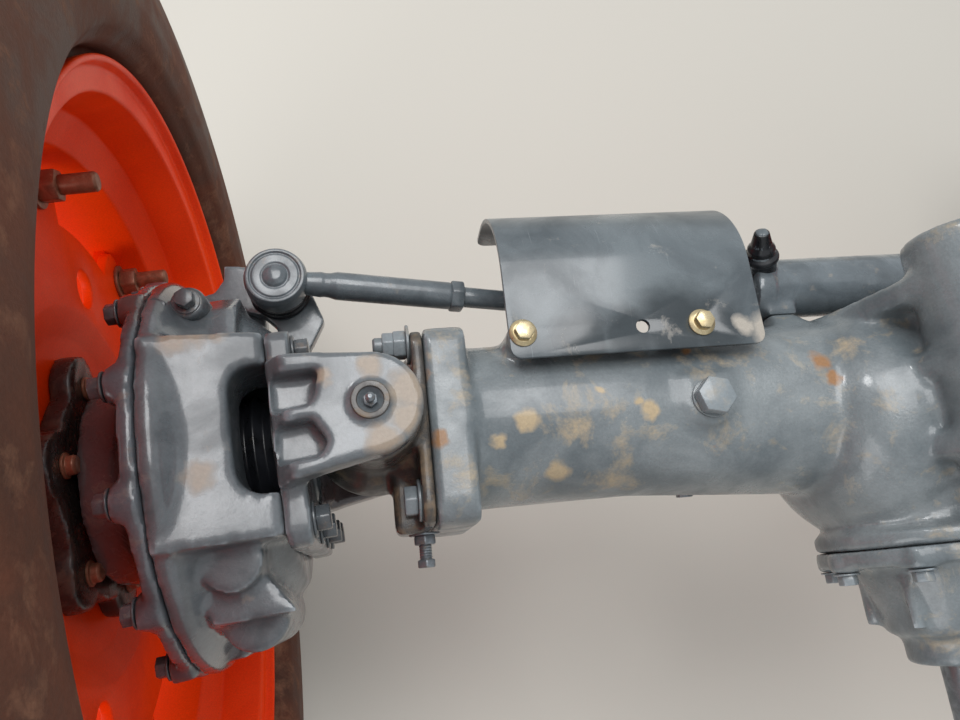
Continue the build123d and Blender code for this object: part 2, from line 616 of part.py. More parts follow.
# Tie rod, drawn along +X from the outer ball joint at the origin, sloping down to its inner eye
tie_eye_z = ROD_LUG_TOP - ROD_LUG_T - TIE_EYE_GAP - TIE_EYE_T / 2
tie_slope = atan2(TIE_Z - tie_eye_z, TIE_ROD_LENGTH)
tie_line = Plane(
    origin=(0, 0, TIE_Z), x_dir=(cos(tie_slope), 0, -sin(tie_slope)), z_dir=(0, -1, 0),
)
with BuildPart() as tie_rod:
    with BuildSketch(Plane.XY.offset(BALL_HOUSING_BOTTOM)):
        Circle(BALL_HOUSING_R)
    extrude(amount=BALL_HOUSING_TOP - BALL_HOUSING_BOTTOM)
    with BuildSketch(Plane.XY.offset(BALL_HOUSING_BOTTOM)):
        Circle(STUD_R)
    extrude(amount=STEER_PLATE_TOP - STEER_PLATE_T - STUD_LENGTH - BALL_HOUSING_BOTTOM)
    with BuildSketch(tie_line):
        with BuildLine():
            Polyline((TIE_ROD[0][0], 0), *TIE_ROD, (TIE_ROD[-1][0], 0), close=True)
        make_face()
    revolve(axis=Axis(tie_line.origin, tie_line.x_dir))
    nut_plane = Plane(
        origin=tie_line.from_local_coords((TIE_NUT_D[0], 0, 0)), x_dir=(0, 1, 0), z_dir=tie_line.x_dir,
    )
    with BuildSketch(nut_plane):
        RegularPolygon(TIE_NUT_AF / 2, 6, major_radius=False)
    extrude(amount=TIE_NUT_D[1] - TIE_NUT_D[0])
    with BuildSketch(Plane.XY.offset(tie_eye_z)):
        with Locations((TIE_ROD_LENGTH, 0)):
            Circle(TIE_EYE_R)
    extrude(amount=TIE_EYE_T / 2, both=True)

with BuildPart() as ball_boot:
    bore_r = STUD_R + SEAT_GAP
    with BuildSketch(Plane.XZ):
        with BuildLine():
            Polyline(
                (bore_r, BALL_HOUSING_BOTTOM), *[(r, BALL_HOUSING_BOTTOM - h) for r, h in BOOT_FOLDS],
                (bore_r, BALL_HOUSING_BOTTOM - BOOT_FOLDS[-1][1]), close=True,
            )
        make_face()
    revolve(axis=Axis.Z)

# Steering cylinder across the front of the beam, with its glands, seats and hose ports
with BuildPart() as steering_cylinder:
    with BuildSketch(across_tube(0)):
        with Locations((CYLINDER_Y, 0)):
            Circle(CYLINDER_R)
    extrude(amount=CYLINDER_HALF, both=True)
    for side in (-1, 1):
        with BuildSketch(across_tube(side * (CYLINDER_HALF - GLAND_T / 2))):
            with Locations((CYLINDER_Y, 0)):
                Circle(GLAND_R)
        extrude(amount=GLAND_T / 2, both=True)
        with BuildSketch(across_tube(side * CYLINDER_SEAT_X)):
            with Locations(((CYLINDER_SEAT_Y + CYLINDER_Y) / 2, 0)):
                Rectangle(CYLINDER_Y - CYLINDER_SEAT_Y, CYLINDER_SEAT_H)
        extrude(amount=CYLINDER_SEAT_W / 2, both=True)
        port_axis = Vector(side * PORT_LEAN[0], PORT_LEAN[1], PORT_LEAN[2]).normalized()
        port_plane = Plane(
            origin=(side * PORT_X, CYLINDER_Y, 0), x_dir=port_axis, z_dir=port_axis.cross(Vector(0, 0, 1)),
        )
        with BuildSketch(port_plane):
            with BuildLine():
                Polyline((PORT[0][0], 0), *PORT, (PORT[-1][0], 0), close=True)
            make_face()
        revolve(axis=Axis(port_plane.origin, port_axis))
    with BuildSketch(across_tube(0)):
        with Locations((CYLINDER_Y, 0)):
            Circle(PISTON_ROD_R + RUNNING_FIT)
    extrude(amount=CYLINDER_HALF + 1, both=True, mode=Mode.SUBTRACT)


def ball_reach(angle):
    """How far the left ball joint is behind the cylinder's line, with the knuckle turned by angle."""
    return CYLINDER_Y - STEER_ARM_R * cos(radians(STEER_ARM_ANGLE + angle))


def inner_eye_x(angle):
    """Inner joint of the left tie rod from the kingpin, when the knuckle is turned left by angle."""
    ball = -STEER_ARM_R * sin(radians(STEER_ARM_ANGLE + angle))
    return ball + sqrt(TIE_ROD_LENGTH**2 - ball_reach(angle) ** 2)


def tie_rod_turn(angle):
    """Direction of the left tie rod, in degrees from +X, when the knuckle is turned left by angle."""
    return degrees(ball_reach(angle) / TIE_ROD_LENGTH)


eye_half = KINGPIN_X - (inner_eye_x(STEER_REST) + inner_eye_x(-STEER_REST)) / 2
rod_shift = (inner_eye_x(STEER_REST) - inner_eye_x(-STEER_REST)) / 2
with BuildPart() as steering_rod:
    with BuildSketch(across_tube(rod_shift)):
        with Locations((CYLINDER_Y, 0)):
            Circle(PISTON_ROD_R)
    extrude(amount=eye_half - ROD_LUG_LENGTH, both=True)
    for side in (-1, 1):
        with BuildSketch(Plane.XY.offset(ROD_LUG_TOP)):
            with Locations((rod_shift + side * (eye_half - ROD_LUG_LENGTH / 2), CYLINDER_Y)):
                Rectangle(ROD_LUG_LENGTH, 2 * ROD_LUG_R)
            with Locations((rod_shift + side * eye_half, CYLINDER_Y)):
                Circle(ROD_LUG_R)
        extrude(amount=-ROD_LUG_T)

# Guard over the rod's end: a sheet bent down in front, with its bolt holes
with BuildPart() as cylinder_guard:
    with BuildSketch(across_tube(GUARD_X[0])):
        with BuildLine():
            arc_z = GUARD_Z - GUARD_R
            outer = GUARD_R + GUARD_T
            Line((GUARD_BACK_Y, GUARD_Z), (GUARD_BEND_Y, GUARD_Z))
            RadiusArc((GUARD_BEND_Y, GUARD_Z), (GUARD_BEND_Y + GUARD_R, arc_z), GUARD_R)
            Polyline(
                (GUARD_BEND_Y + GUARD_R, arc_z), (GUARD_BEND_Y + GUARD_R, arc_z - GUARD_SKIRT),
                (GUARD_BEND_Y + outer, arc_z - GUARD_SKIRT), (GUARD_BEND_Y + outer, arc_z),
            )
            RadiusArc((GUARD_BEND_Y + outer, arc_z), (GUARD_BEND_Y, GUARD_Z + GUARD_T), -outer)
            Polyline(
                (GUARD_BEND_Y, GUARD_Z + GUARD_T), (GUARD_BACK_Y, GUARD_Z + GUARD_T),
                (GUARD_BACK_Y, GUARD_Z),
            )
        make_face()
    extrude(amount=GUARD_X[1] - GUARD_X[0])
    fillet(cylinder_guard.edges().filter_by(Axis.Z).group_by(Axis.Y)[0], GUARD_CORNER_R)
    fillet(cylinder_guard.edges().filter_by(Axis.Y).group_by(Axis.Z)[0], GUARD_CORNER_R)
    with BuildSketch(Plane.XY.offset(GUARD_Z)):
        with Locations(*[(x, GUARD_BOLT_Y) for x in (*GUARD_BOLT_X, GUARD_HOLE_X)]):
            Circle(GUARD_HOLE_R)
    extrude(amount=GUARD_T, mode=Mode.SUBTRACT)

# Hub with its lobed flange, spigot and shaft
with BuildPart() as wheel_hub:
    with BuildSketch(on_wheel_axis(HUB_X)):
        Circle(HUB_WEB_R)
        with PolarLocations(HUB_BOLT_R, HUB_LOBES, start_angle=HUB_LOBE_TURN):
            Circle(HUB_LOBE_R)
    extrude(amount=HUB_T)
    with BuildSketch(on_wheel_axis(HUB_X)):
        Circle(HUB_SHAFT_R - RUNNING_FIT)
    extrude(amount=-HUB_SHAFT_LENGTH)
    with BuildSketch(on_wheel_axis(HUB_X - HUB_T)):
        Circle(HUB_SPIGOT_R)
    extrude(amount=HUB_SPIGOT_LENGTH)

# Wheel disc between the hub flange and the rim's lugs
disc_in_x = HUB_X - HUB_T
disc_edge_x = disc_in_x + DISC_DISH
disc_r = RIM_LUG_R - RIM_LUG_W / 2
dished_plate = turned_on_wheel_axis(
    [
        (disc_in_x, DISC_BORE_R), (disc_in_x, DISC_BEND_R[0]), (disc_edge_x, DISC_BEND_R[1]),
        (disc_edge_x, disc_r), (disc_edge_x - DISC_T, disc_r),
        (disc_edge_x - DISC_T, DISC_BEND_R[1] + 2), (disc_in_x - DISC_T, DISC_BEND_R[0] + 2),
        (disc_in_x - DISC_T, DISC_BORE_R),
    ],
    rounds=((1, 20.0), (2, 12.0)),
)
with BuildPart() as wheel_disc:
    add(dished_plate)
    with BuildSketch(on_wheel_axis(disc_edge_x)):
        with PolarLocations(disc_r - DISC_TAB_LAP, RIM_LUGS, start_angle=RIM_LUG_TURN):
            RectangleRounded(2 * (RIM_LUG_R - disc_r) + RIM_LUG_W, DISC_TAB_W, 2 * DISC_T)
        Circle(disc_r - DISC_TAB_LAP / 3, mode=Mode.SUBTRACT)
    extrude(amount=DISC_T)
    with BuildSketch(on_wheel_axis(disc_edge_x)):
        with PolarLocations(DISC_HOLE_AT_R, DISC_HOLES, start_angle=0):
            Circle(DISC_HOLE_R)
    extrude(amount=DISC_T, mode=Mode.SUBTRACT)

# Drop-centre rim with the lugs that the disc bolts to
outer_x = RIM_INNER_X - RIM_WIDTH
half_section = [  # distance in from the rim's edge, radius of the tyre side, radius of the wheel side
    (0, RIM_R, RIM_R - RIM_T), (12, RIM_R - 3, RIM_R - RIM_T - 2), (13, BEAD_R, BEAD_R - RIM_T),
    (52, BEAD_R - 4, BEAD_R - RIM_T - 4), (66, WELL_R, WELL_R - RIM_T),
]
tyre_side = [(RIM_INNER_X - d, r) for d, r, _ in half_section]
tyre_side += [(outer_x + d, r) for d, r, _ in reversed(half_section)]
wheel_side = [(outer_x + max(d - 3, 0), r) for d, _, r in half_section]
wheel_side += [(RIM_INNER_X - max(d - 3, 0), r) for d, _, r in reversed(half_section)]
barrel = turned_on_wheel_axis(tyre_side + wheel_side)
with BuildPart() as rim:
    add(barrel)
    with BuildSketch(on_wheel_axis(disc_edge_x - DISC_T)):
        with PolarLocations(RIM_LUG_R, RIM_LUGS, start_angle=RIM_LUG_TURN):
            Rectangle(RIM_LUG_LENGTH, RIM_LUG_W)
    extrude(amount=RIM_LUG_T)

# Tyre: its casing and two rows of slanting lugs that run out over the shoulders
half = TYRE_WIDTH / 2
crown_r = TYRE_R - LUG_HEIGHT
bead_x = RIM_WIDTH / 2 - 14
outside = [
    (bead_x, BEAD_R + SEAT_GAP), (bead_x, RIM_R + 3), (half - 6, RIM_R + 14), (half, BEAD_R + 88),
    (half - 8, crown_r - 50), (half - 26, crown_r - 14), (half - 62, crown_r - 3),
]
inside = [
    (bead_x - 14, BEAD_R + SEAT_GAP), (half - 20, RIM_R + 40), (half - 22, crown_r - 60),
    (half - 50, crown_r - 36),
]
section = [(WHEEL_MID_X + x, r) for x, r in outside]
section += [(WHEEL_MID_X - x, r) for x, r in reversed(outside)]
section += [(WHEEL_MID_X - x, r) for x, r in inside]
section += [(WHEEL_MID_X + x, r) for x, r in reversed(inside)]
casing = turned_on_wheel_axis(section)
lug_plane = Plane(origin=(WHEEL_MID_X, 0, -WHEEL_DROP), x_dir=(1, 0, 0), z_dir=(0, 0, 1))
lugs = []
for hand, row_turn in ((-1, 0.0), (1, 0.5)):
    with BuildPart() as lug:
        with BuildSketch(lug_plane.offset(crown_r - LUG_ROOT)):
            with BuildLine():
                Polyline(*[(hand * share * half, y) for share, y in LUG_OUTLINE], close=True)
            make_face()
        extrude(amount=LUG_HEIGHT + LUG_ROOT, taper=LUG_TAPER)
    for turn in range(LUGS):
        wheel_axis = Axis((0, 0, -WHEEL_DROP), (1, 0, 0))
        lugs.append(lug.part.rotate(wheel_axis, 360 / LUGS * (turn + row_turn)))
with BuildPart() as tyre:
    add(casing)
    add(lugs)


def on_side(part, side, turned=True):
    """Place a left-hand piece on the left (-1) or right (+1) end, with its kingpin turned to rest."""
    placed = part if side < 0 else part.mirror(Plane.YZ)
    turn = STEER_REST if turned else 0
    return Location((side * KINGPIN_X, 0, AXLE_Z), (0, 0, turn)) * placed


def tie_on_side(part, side):
    """Place a tie rod piece at the outer ball joint, pointing to the rod's eye."""
    angle = -side * STEER_REST
    turned = radians(STEER_ARM_ANGLE + angle)
    turn = tie_rod_turn(angle)
    at_ball = Location((-STEER_ARM_R * sin(turned), STEER_ARM_R * cos(turned), 0), (0, 0, turn)) * part
    return on_side(at_ball, side, turned=False)


os.makedirs("parts", exist_ok=True)


def write(part, name):
    part.label = name
    export_step(part, f"parts/{name}.step")


centre_pieces = {
    "axle_housing": axle_housing, "pinion_housing": pinion_housing, "input_shaft": input_shaft,
    "steering_cylinder": steering_cylinder, "steering_rod": steering_rod,
}
for name, piece in centre_pieces.items():
    write(Location((0, 0, AXLE_Z)) * piece.part, name)

fixed_pieces = {"kingpin_carrier": kingpin_carrier, "cylinder_guard": cylinder_guard}
knuckle_pieces = {
    "knuckle_yoke": knuckle_yoke, "final_case": final_case, "case_cover": case_cover,
    "drive_joint": drive_joint, "steering_arm": steering_arm, "wheel_hub": wheel_hub,
    "wheel_disc": wheel_disc, "rim": rim, "tyre": tyre,
}
tie_pieces = {"tie_rod": tie_rod, "ball_boot": ball_boot}
for side, hand in ((-1, "left"), (1, "right")):
    for name, piece in fixed_pieces.items():
        write(on_side(piece.part, side, turned=False), f"{name}_{hand}")
    for name, piece in knuckle_pieces.items():
        write(on_side(piece.part, side), f"{name}_{hand}")
    for name, piece in tie_pieces.items():
        write(tie_on_side(piece.part, side), f"{name}_{hand}")
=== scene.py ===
# %% [markdown]
# # Dressing a tractor's front drive axle
#
# The construction of this axle comes from CAD: every casting, rod and wheel is already at its real
# size and place. Here it gets its looks: soft cast edges, bolts, rubber, mud and wet paint.
# Blender's lengths are metres. Sizes below are written in millimetres and scaled once, by MM.

# %% Load the frame
import math

import bmesh
import bpy
from mathutils import Matrix, Vector


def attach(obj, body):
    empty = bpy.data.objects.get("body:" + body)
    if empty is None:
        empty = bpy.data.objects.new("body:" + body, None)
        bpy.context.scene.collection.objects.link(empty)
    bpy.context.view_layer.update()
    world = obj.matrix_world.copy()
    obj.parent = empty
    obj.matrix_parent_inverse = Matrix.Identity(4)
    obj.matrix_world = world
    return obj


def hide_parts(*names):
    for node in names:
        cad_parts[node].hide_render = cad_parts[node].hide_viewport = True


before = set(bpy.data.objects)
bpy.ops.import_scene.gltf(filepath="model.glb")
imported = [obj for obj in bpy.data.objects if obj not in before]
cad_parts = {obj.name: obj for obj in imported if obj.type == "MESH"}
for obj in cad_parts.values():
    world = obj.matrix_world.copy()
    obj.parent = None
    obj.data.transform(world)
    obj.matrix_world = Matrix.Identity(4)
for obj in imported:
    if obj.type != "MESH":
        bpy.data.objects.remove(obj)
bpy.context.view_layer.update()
MM = 0.001
print("CAD nodes:", len(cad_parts))

# %% [markdown]
# ## The camera
#
# The picture was taken by hand, standing over the left wheel and looking down and a little forward.
# Its place was worked out from the straight edges of the axle tube and the guard. A camera is placed
# by one matrix: its three columns are the picture's right, the picture's up, and the direction back
# towards the viewer.

# %% Camera
KINGPIN_X = 470.0
PIVOT_RISE = 125.0
CAMERA_FROM_KINGPIN = (4.1, -121.2, 600.5)
PICTURE_RIGHT = Vector((0.9876, -0.1034, 0.1182))
PICTURE_DOWN = Vector((-0.0643, -0.9529, -0.2965))
FOCAL_LENGTH = 27.4
SENSOR_WIDTH = 36.0  # the full frame that the focal length is given for
NEAREST_VIEW = 0.02  # metres

view_back = PICTURE_RIGHT.cross(-PICTURE_DOWN)
camera_data = bpy.data.cameras.new("hand_camera")
camera_data.lens = FOCAL_LENGTH
camera_data.sensor_width = SENSOR_WIDTH
camera_data.clip_start = NEAREST_VIEW
camera = bpy.data.objects.new("hand_camera", camera_data)
turn = Matrix((PICTURE_RIGHT, -PICTURE_DOWN, view_back)).transposed().to_4x4()
place = Vector(CAMERA_FROM_KINGPIN) + Vector((-KINGPIN_X, 0, -PIVOT_RISE))
camera.matrix_world = Matrix.Translation(place * MM) @ turn
bpy.context.scene.collection.objects.link(camera)
bpy.context.scene.camera = camera
print("camera at", [round(v, 3) for v in camera.location])

# %% [markdown]
# ## Floor and light
#
# The tyres rest on a pale floor. An overcast sky is the kindest light for wet paint: one large soft
# lamp above, a weaker one from the side, a small one that draws highlights along the ridges, and a
# pale world that fills the shadows and shows in the gloss of the castings. Colours are written as on
# a paint chart, in sRGB hex, and one function turns them to the linear light that Blender reckons in.

# %% Colours and nodes
def linear(hex_colour):
    """The linear colour of an sRGB hex value, with alpha 1."""
    channels = [int(hex_colour[i:i + 2], 16) / 255 for i in (1, 3, 5)]
    return tuple(c / 12.92 if c <= 0.04045 else ((c + 0.055) / 1.055) ** 2.4
                 for c in channels) + (1.0,)


def node(tree, kind, feeds=None, **settings):
    """Add one shader node, set its properties or inputs by name, and feed its other inputs.

    kind leaves out "ShaderNode". feeds maps an input's name or number to a socket or a value.
    """
    made = tree.nodes.new("ShaderNode" + kind)
    for name, value in settings.items():
        if hasattr(made, name):
            setattr(made, name, value)
        else:
            made.inputs[name.replace("_", " ")].default_value = value
    for name, value in (feeds or {}).items():
        if isinstance(value, bpy.types.NodeSocket):
            tree.links.new(value, made.inputs[name])
        else:
            made.inputs[name].default_value = value
    return made


print("pale paper in linear light:", [round(c, 3) for c in linear("#c9c4bb")])

# %% Floor
WHEEL_DROP = 31.0
TYRE_R = 525.0
FLOOR_GAP = 1.0
FLOOR_HALF = 12.0  # metres
floor_z = -(PIVOT_RISE + WHEEL_DROP + TYRE_R + FLOOR_GAP) * MM

floor_mesh = bmesh.new()
bmesh.ops.create_grid(floor_mesh, x_segments=1, y_segments=1, size=FLOOR_HALF)
bmesh.ops.translate(floor_mesh, verts=floor_mesh.verts, vec=(0, 0, floor_z))
floor_data = bpy.data.meshes.new("studio_floor")
floor_mesh.to_mesh(floor_data)
floor_mesh.free()
floor = bpy.data.objects.new("studio_floor", floor_data)
bpy.context.scene.collection.objects.link(floor)
floor_paper = bpy.data.materials.new("pale_paper")
floor_paper.use_nodes = True
paper_shader = floor_paper.node_tree.nodes["Principled BSDF"]
paper_shader.inputs["Base Color"].default_value = linear("#c9c4bb")
paper_shader.inputs["Roughness"].default_value = 0.8
floor.data.materials.append(floor_paper)
print("floor at", round(floor_z, 3), "m")

# %% World and lamps
world = bpy.data.worlds.new("overcast")
bpy.context.scene.world = world
world.use_nodes = True
sky = world.node_tree.nodes["Background"]
sky.inputs["Color"].default_value = linear("#eef2f5")
sky.inputs["Strength"].default_value = 0.75


def soft_lamp(name, place, aim, size, power):
    """A square area lamp at place that looks at aim, both in metres."""
    data = bpy.data.lights.new(name, "AREA")
    data.shape = "SQUARE"
    data.size = size
    data.energy = power
    lamp = bpy.data.objects.new(name, data)
    lamp.location = place
    lamp.rotation_euler = (Vector(aim) - Vector(place)).to_track_quat("-Z", "Y").to_euler()
    bpy.context.scene.collection.objects.link(lamp)


LAMPS = (  # name, place, aim and size in metres, power in watts
    ("sky_lamp", (-0.3, 0.9, 2.4), (-0.3, 0, -0.1), 1.8, 54),
    ("side_lamp", (-2.2, -1.6, 1.2), (-0.3, 0, -0.2), 1.4, 20),
    ("gloss_lamp", (-1.3, 1.3, 1.6), (-0.5, 0, -0.1), 0.35, 9),
)
for lamp_name, lamp_place, aim, size, power in LAMPS:
    soft_lamp(lamp_name, lamp_place, aim, size, power)
bpy.context.scene.view_settings.view_transform = "Standard"
print("lamps:", *(lamp[0] for lamp in LAMPS))

# %% [markdown]
# ## A finish in layers
#
# Farm paint is never one colour. From below upwards it is: the paint, which the sun and the rain
# leave lighter and darker in places; a film of water or oily soil, which low on the case is painted
# shade; dust and dried mud on what faces up; rust where the paint is chipped; and the bright worn
# edges. Wet spots are glossy and dusty ones dull. It could be painted by hand on each piece. Instead
# one function builds these layers for all finishes, so that the whole machine looks as if it stood in
# one yard. Spots that the picture shows in a certain place are given by centre and radius.

# %% Spots with ragged edges
SPOT_WARP = 16.0  # how far the edge of a spot strays, in mm
SPOT_RAG = 14.0  # the size of the rags along it
SPOT_OUTER, SPOT_INNER = 1.25, 0.6  # where a spot fades in and is full, as shares of its radius


def spot_mask(tree, coords, spots):
    """A mask that is 1 inside spots (x, y, z, radius in mm) with ragged edges, and 0 outside."""
    warp = node(tree, "TexNoise", {"Vector": coords}, Scale=1 / (SPOT_RAG * MM), Detail=4.0)
    shift = node(tree, "VectorMath",
                 {0: warp.outputs["Color"], 1: (SPOT_WARP * MM,) * 3, 2: (-SPOT_WARP * MM / 2,) * 3},
                 operation="MULTIPLY_ADD")
    ragged = node(tree, "VectorMath", {0: coords, 1: shift.outputs[0]}, operation="ADD")
    mask = None
    for x, y, z, radius in spots:
        reach = node(tree, "VectorMath",
                     {0: ragged.outputs[0], 1: (x * MM, y * MM, z * MM)}, operation="DISTANCE")
        inside = node(tree, "MapRange", {"Value": reach.outputs["Value"]},
                      From_Min=radius * SPOT_OUTER * MM, From_Max=radius * SPOT_INNER * MM)
        if mask is None:
            mask = inside
        else:
            mask = node(tree, "Math", {0: mask.outputs[0], 1: inside.outputs[0]},
                        operation="MAXIMUM")
    return mask.outputs[0]


print("spots stray by", SPOT_WARP, "mm")

# %% The layered finish
WET_ROUGHNESS = 0.14
DRY_ROUGHNESS = 0.85  # of mud and rust
COAT_ROUGHNESS = 0.12
# The brown of the film layer, which low on the case's back is painted shade.
FILM_AND_SHADE_BROWN = "#52413f"
FILM_AND_SHADE_SHARE = 0.86  # how much of the colour below a film hides
FILM_ROUGHNESS = 0.16
RUST_GRAIN = 26.0
SCRATCH_ANGLES = (0.5, -0.7, 1.2)
SCRATCH_WIDTH, SCRATCH_LENGTH = 1.1, 60.0  # wider than real ones, so that they show


def layered(name, paint, shade, dirt, dirt_cover, patch, grain, grain_depth, rust="#7b3f1f",
            rust_cover=0.0, dull=0.5, wet=WET_ROUGHNESS, metallic=0.0, coat=0.0, shine=0.5,
            edge=None, scratches=None, film_and_shade=(), film_and_shade_colour=FILM_AND_SHADE_BROWN, mud_spots=(),
            rust_spots=()):
    """A finish of paint, lighter or darker in patches, under a wet layer, dirt and rust. Low on the
    case, the wet layer is painted shade.

    patch and grain are the sizes of the clouds in the paint and of the surface's grain in mm.
    """
    made = bpy.data.materials.new(name)
    made.use_nodes = True
    tree = made.node_tree
    shader = tree.nodes["Principled BSDF"]
    coords = node(tree, "TexCoord").outputs["Object"]
    surface = node(tree, "NewGeometry")

    # Where each layer lies: 1 where it covers what is below, 0 where it is missing.
    clouds = node(tree, "TexNoise", {"Vector": coords},
                  Scale=1 / (patch * MM), Detail=7.0, Roughness=0.6, Distortion=0.5)
    faded = node(tree, "MapRange", {"Value": clouds.outputs[0]}, From_Min=0.36, From_Max=0.62)
    specks = node(tree, "TexNoise", {"Vector": coords},
                  Scale=1 / (grain * MM), Detail=4.0, Roughness=0.65)
    layers = [(faded.outputs[0], shade)]
    if scratches:
        for angle in SCRATCH_ANGLES:
            drawn = node(tree, "Mapping",
                         {"Vector": coords, "Rotation": (0, 0, angle),
                          "Scale": (1 / (SCRATCH_WIDTH * MM),) + (1 / (SCRATCH_LENGTH * MM),) * 2})
            lines = node(tree, "TexNoise", {"Vector": drawn.outputs[0]}, Scale=1.0, Detail=1.0)
            scored = node(tree, "MapRange", {"Value": lines.outputs[0]},
                          From_Min=0.755, From_Max=0.80, To_Max=0.35)
            layers.append((scored.outputs[0], scratches))
    # The film layer: rain water on the guard, oily soil on the cover's nose, and painted shade,
    # tinted brown, low on the case's back.
    if film_and_shade:
        film_and_shade_mask = node(tree, "Math", {0: spot_mask(tree, coords, film_and_shade), 1: FILM_AND_SHADE_SHARE},
                      operation="MULTIPLY")
        layers.append((film_and_shade_mask.outputs[0], film_and_shade_colour))

    facing_up = node(tree, "SeparateXYZ", {0: surface.outputs["Normal"]}).outputs["Z"]
    dust = node(tree, "TexNoise", {"Vector": coords},
                Scale=1 / (patch * 0.45 * MM), Detail=9.0, Roughness=0.68, Distortion=0.3)
    lying = node(tree, "Math", {0: facing_up, 1: 0.10, 2: dust.outputs[0]},
                 operation="MULTIPLY_ADD")
    mud = node(tree, "MapRange", {"Value": lying.outputs[0]},
               From_Min=0.80 - 0.5 * dirt_cover, From_Max=1.02 - 0.5 * dirt_cover)
    if mud_spots:
        mud = node(tree, "Math",
                   {0: mud.outputs[0], 1: spot_mask(tree, coords, mud_spots)}, operation="MAXIMUM")
    layers.append((mud.outputs[0], dirt))

    blooms = node(tree, "TexNoise", {"Vector": coords},
                  Scale=1 / (RUST_GRAIN * MM), Detail=8.0, Roughness=0.7, Distortion=0.8)
    rusted = node(tree, "MapRange", {"Value": blooms.outputs[0]},
                  From_Min=0.80 - 0.45 * rust_cover, From_Max=0.86 - 0.45 * rust_cover)
    if rust_spots:
        rusted = node(tree, "Math",
                      {0: rusted.outputs[0], 1: spot_mask(tree, coords, rust_spots)},
                      operation="MAXIMUM")
    layers.append((rusted.outputs[0], rust))
    if edge:
        worn = node(tree, "MapRange", {"Value": surface.outputs["Pointiness"]},
                    From_Min=0.53, From_Max=0.60)
        layers.append((worn.outputs[0], edge))

    # Colour: the layers laid over each other, then speckled by the grain.
    colour = linear(paint)
    for cover, layer_colour in layers:
        colour = node(tree, "Mix", {0: cover, 6: colour, 7: linear(layer_colour)},
                      data_type="RGBA").outputs[2]
    tint = node(tree, "MapRange", {"Value": specks.outputs[0]},
                From_Min=0.3, From_Max=0.7, To_Min=0.88, To_Max=1.08)
    toned = node(tree, "VectorMath", {0: colour, "Scale": tint.outputs[0]}, operation="SCALE")
    tree.links.new(toned.outputs[0], shader.inputs["Base Color"])

    # Gloss: wet or dull paint by its clouds, a glossy film, and dry mud and rust.
    gloss = node(tree, "MapRange", {"Value": clouds.outputs[0]},
                 From_Min=0.40, From_Max=0.60, To_Min=wet, To_Max=dull)
    if film_and_shade:
        gloss = node(tree, "Mix", {0: film_and_shade_mask.outputs[0], 2: gloss.outputs[0], 3: FILM_ROUGHNESS})
    covered = node(tree, "Math", {0: mud.outputs[0], 1: rusted.outputs[0]}, operation="MAXIMUM")
    rough = node(tree, "Mix", {0: covered.outputs[0], 2: gloss.outputs[0], 3: DRY_ROUGHNESS})
    tree.links.new(rough.outputs[0], shader.inputs["Roughness"])

    # Relief: the grain everywhere, and mud and rust standing a little proud.
    relief = node(tree, "Math", {0: covered.outputs[0], 1: 0.6, 2: specks.outputs[0]},
                  operation="MULTIPLY_ADD")
    bump = node(tree, "Bump", {"Height": relief.outputs[0]}, Strength=0.5,
                Distance=grain_depth * MM)
    tree.links.new(bump.outputs[0], shader.inputs["Normal"])
    shader.inputs["Metallic"].default_value = metallic
    shader.inputs["Specular IOR Level"].default_value = shine
    shader.inputs["Coat Weight"].default_value = coat
    shader.inputs["Coat Roughness"].default_value = COAT_ROUGHNESS
    return made


print("roughness when wet", WET_ROUGHNESS, "and under mud", DRY_ROUGHNESS)

# %% [markdown]
# ## Enamel on the castings
#
# The axle is sprayed grey after assembly, bolts and all, and each casting then weathers in its own
# way. One grey would do from afar. Here each has a mix of its own, because the picture shows them
# from an arm's length away. In every finish the first colour is the paint where it is wet or thick,
# the second where it has dulled or worn thin. Spots stand in millimetres in the axle's frame.

# %% Enamel on the castings
# Painted shade, brown as oily soil, on the case low down at the back; a brown film on the cover's
# nose.
LOWER_SHADE_AND_FILM = ((-607, -140, -200, 82), (-640, -90, -190, 66), (-565, -120, -245, 74),
              (-612, 120, -75, 34), (-500, -60, -230, 60))
NOSE_FILM = ((-690, -12, -156, 104), (-665, -110, -210, 90), (-650, 90, -40, 34),
             (-665, -30, -165, 60))
# Glossy grey enamel over a sand casting, wet with rain: soft light and dark pools, sharp highlights
# along the ridges, tan mud where water stood, and painted shade, brown as oily soil, low at the back.
case_paint = layered(
    "grey_enamel_and_painted_shade_on_case", "#686e72", "#4a5054", dirt="#8f8273", dirt_cover=0.16, rust="#9c7f5c",
    rust_cover=0.04, patch=60, grain=2.6, grain_depth=0.35, coat=0.6, edge="#99a3a9",
    film_and_shade=LOWER_SHADE_AND_FILM, mud_spots=((-600, 56, -14, 10), (-586, 58, -12, 13), (-572, 62, -15, 10),
    (-581, -38, -12, 12), (-462, -27, -7, 12), (-444, 8, -7, 15), (-446, -12, -7, 11),
    (-500, 20, -8, 7), (-470, 24, -7, 9)))
# The same enamel on small bolts, where mud holds on round the heads: duller and browner.
dark_case_paint = layered(
    "muddy_enamel_on_bolts", "#565c60", "#3e4144", dirt="#7a6a5c", dirt_cover=0.36, rust="#6b4a38",
    rust_cover=0.14, patch=16, grain=1.4, grain_depth=0.15, coat=0.4)
# The enamel on the cover, next to the wheel, under a brown film that the wheel throws on it.
cover_paint = layered(
    "muddy_enamel_on_cover", "#60656a", "#454a4f", dirt="#75655a", dirt_cover=0.34, rust="#6b4a38",
    rust_cover=0.10, patch=50, grain=2.4, grain_depth=0.35, coat=0.5, edge="#7c858b",
    film_and_shade=NOSE_FILM)
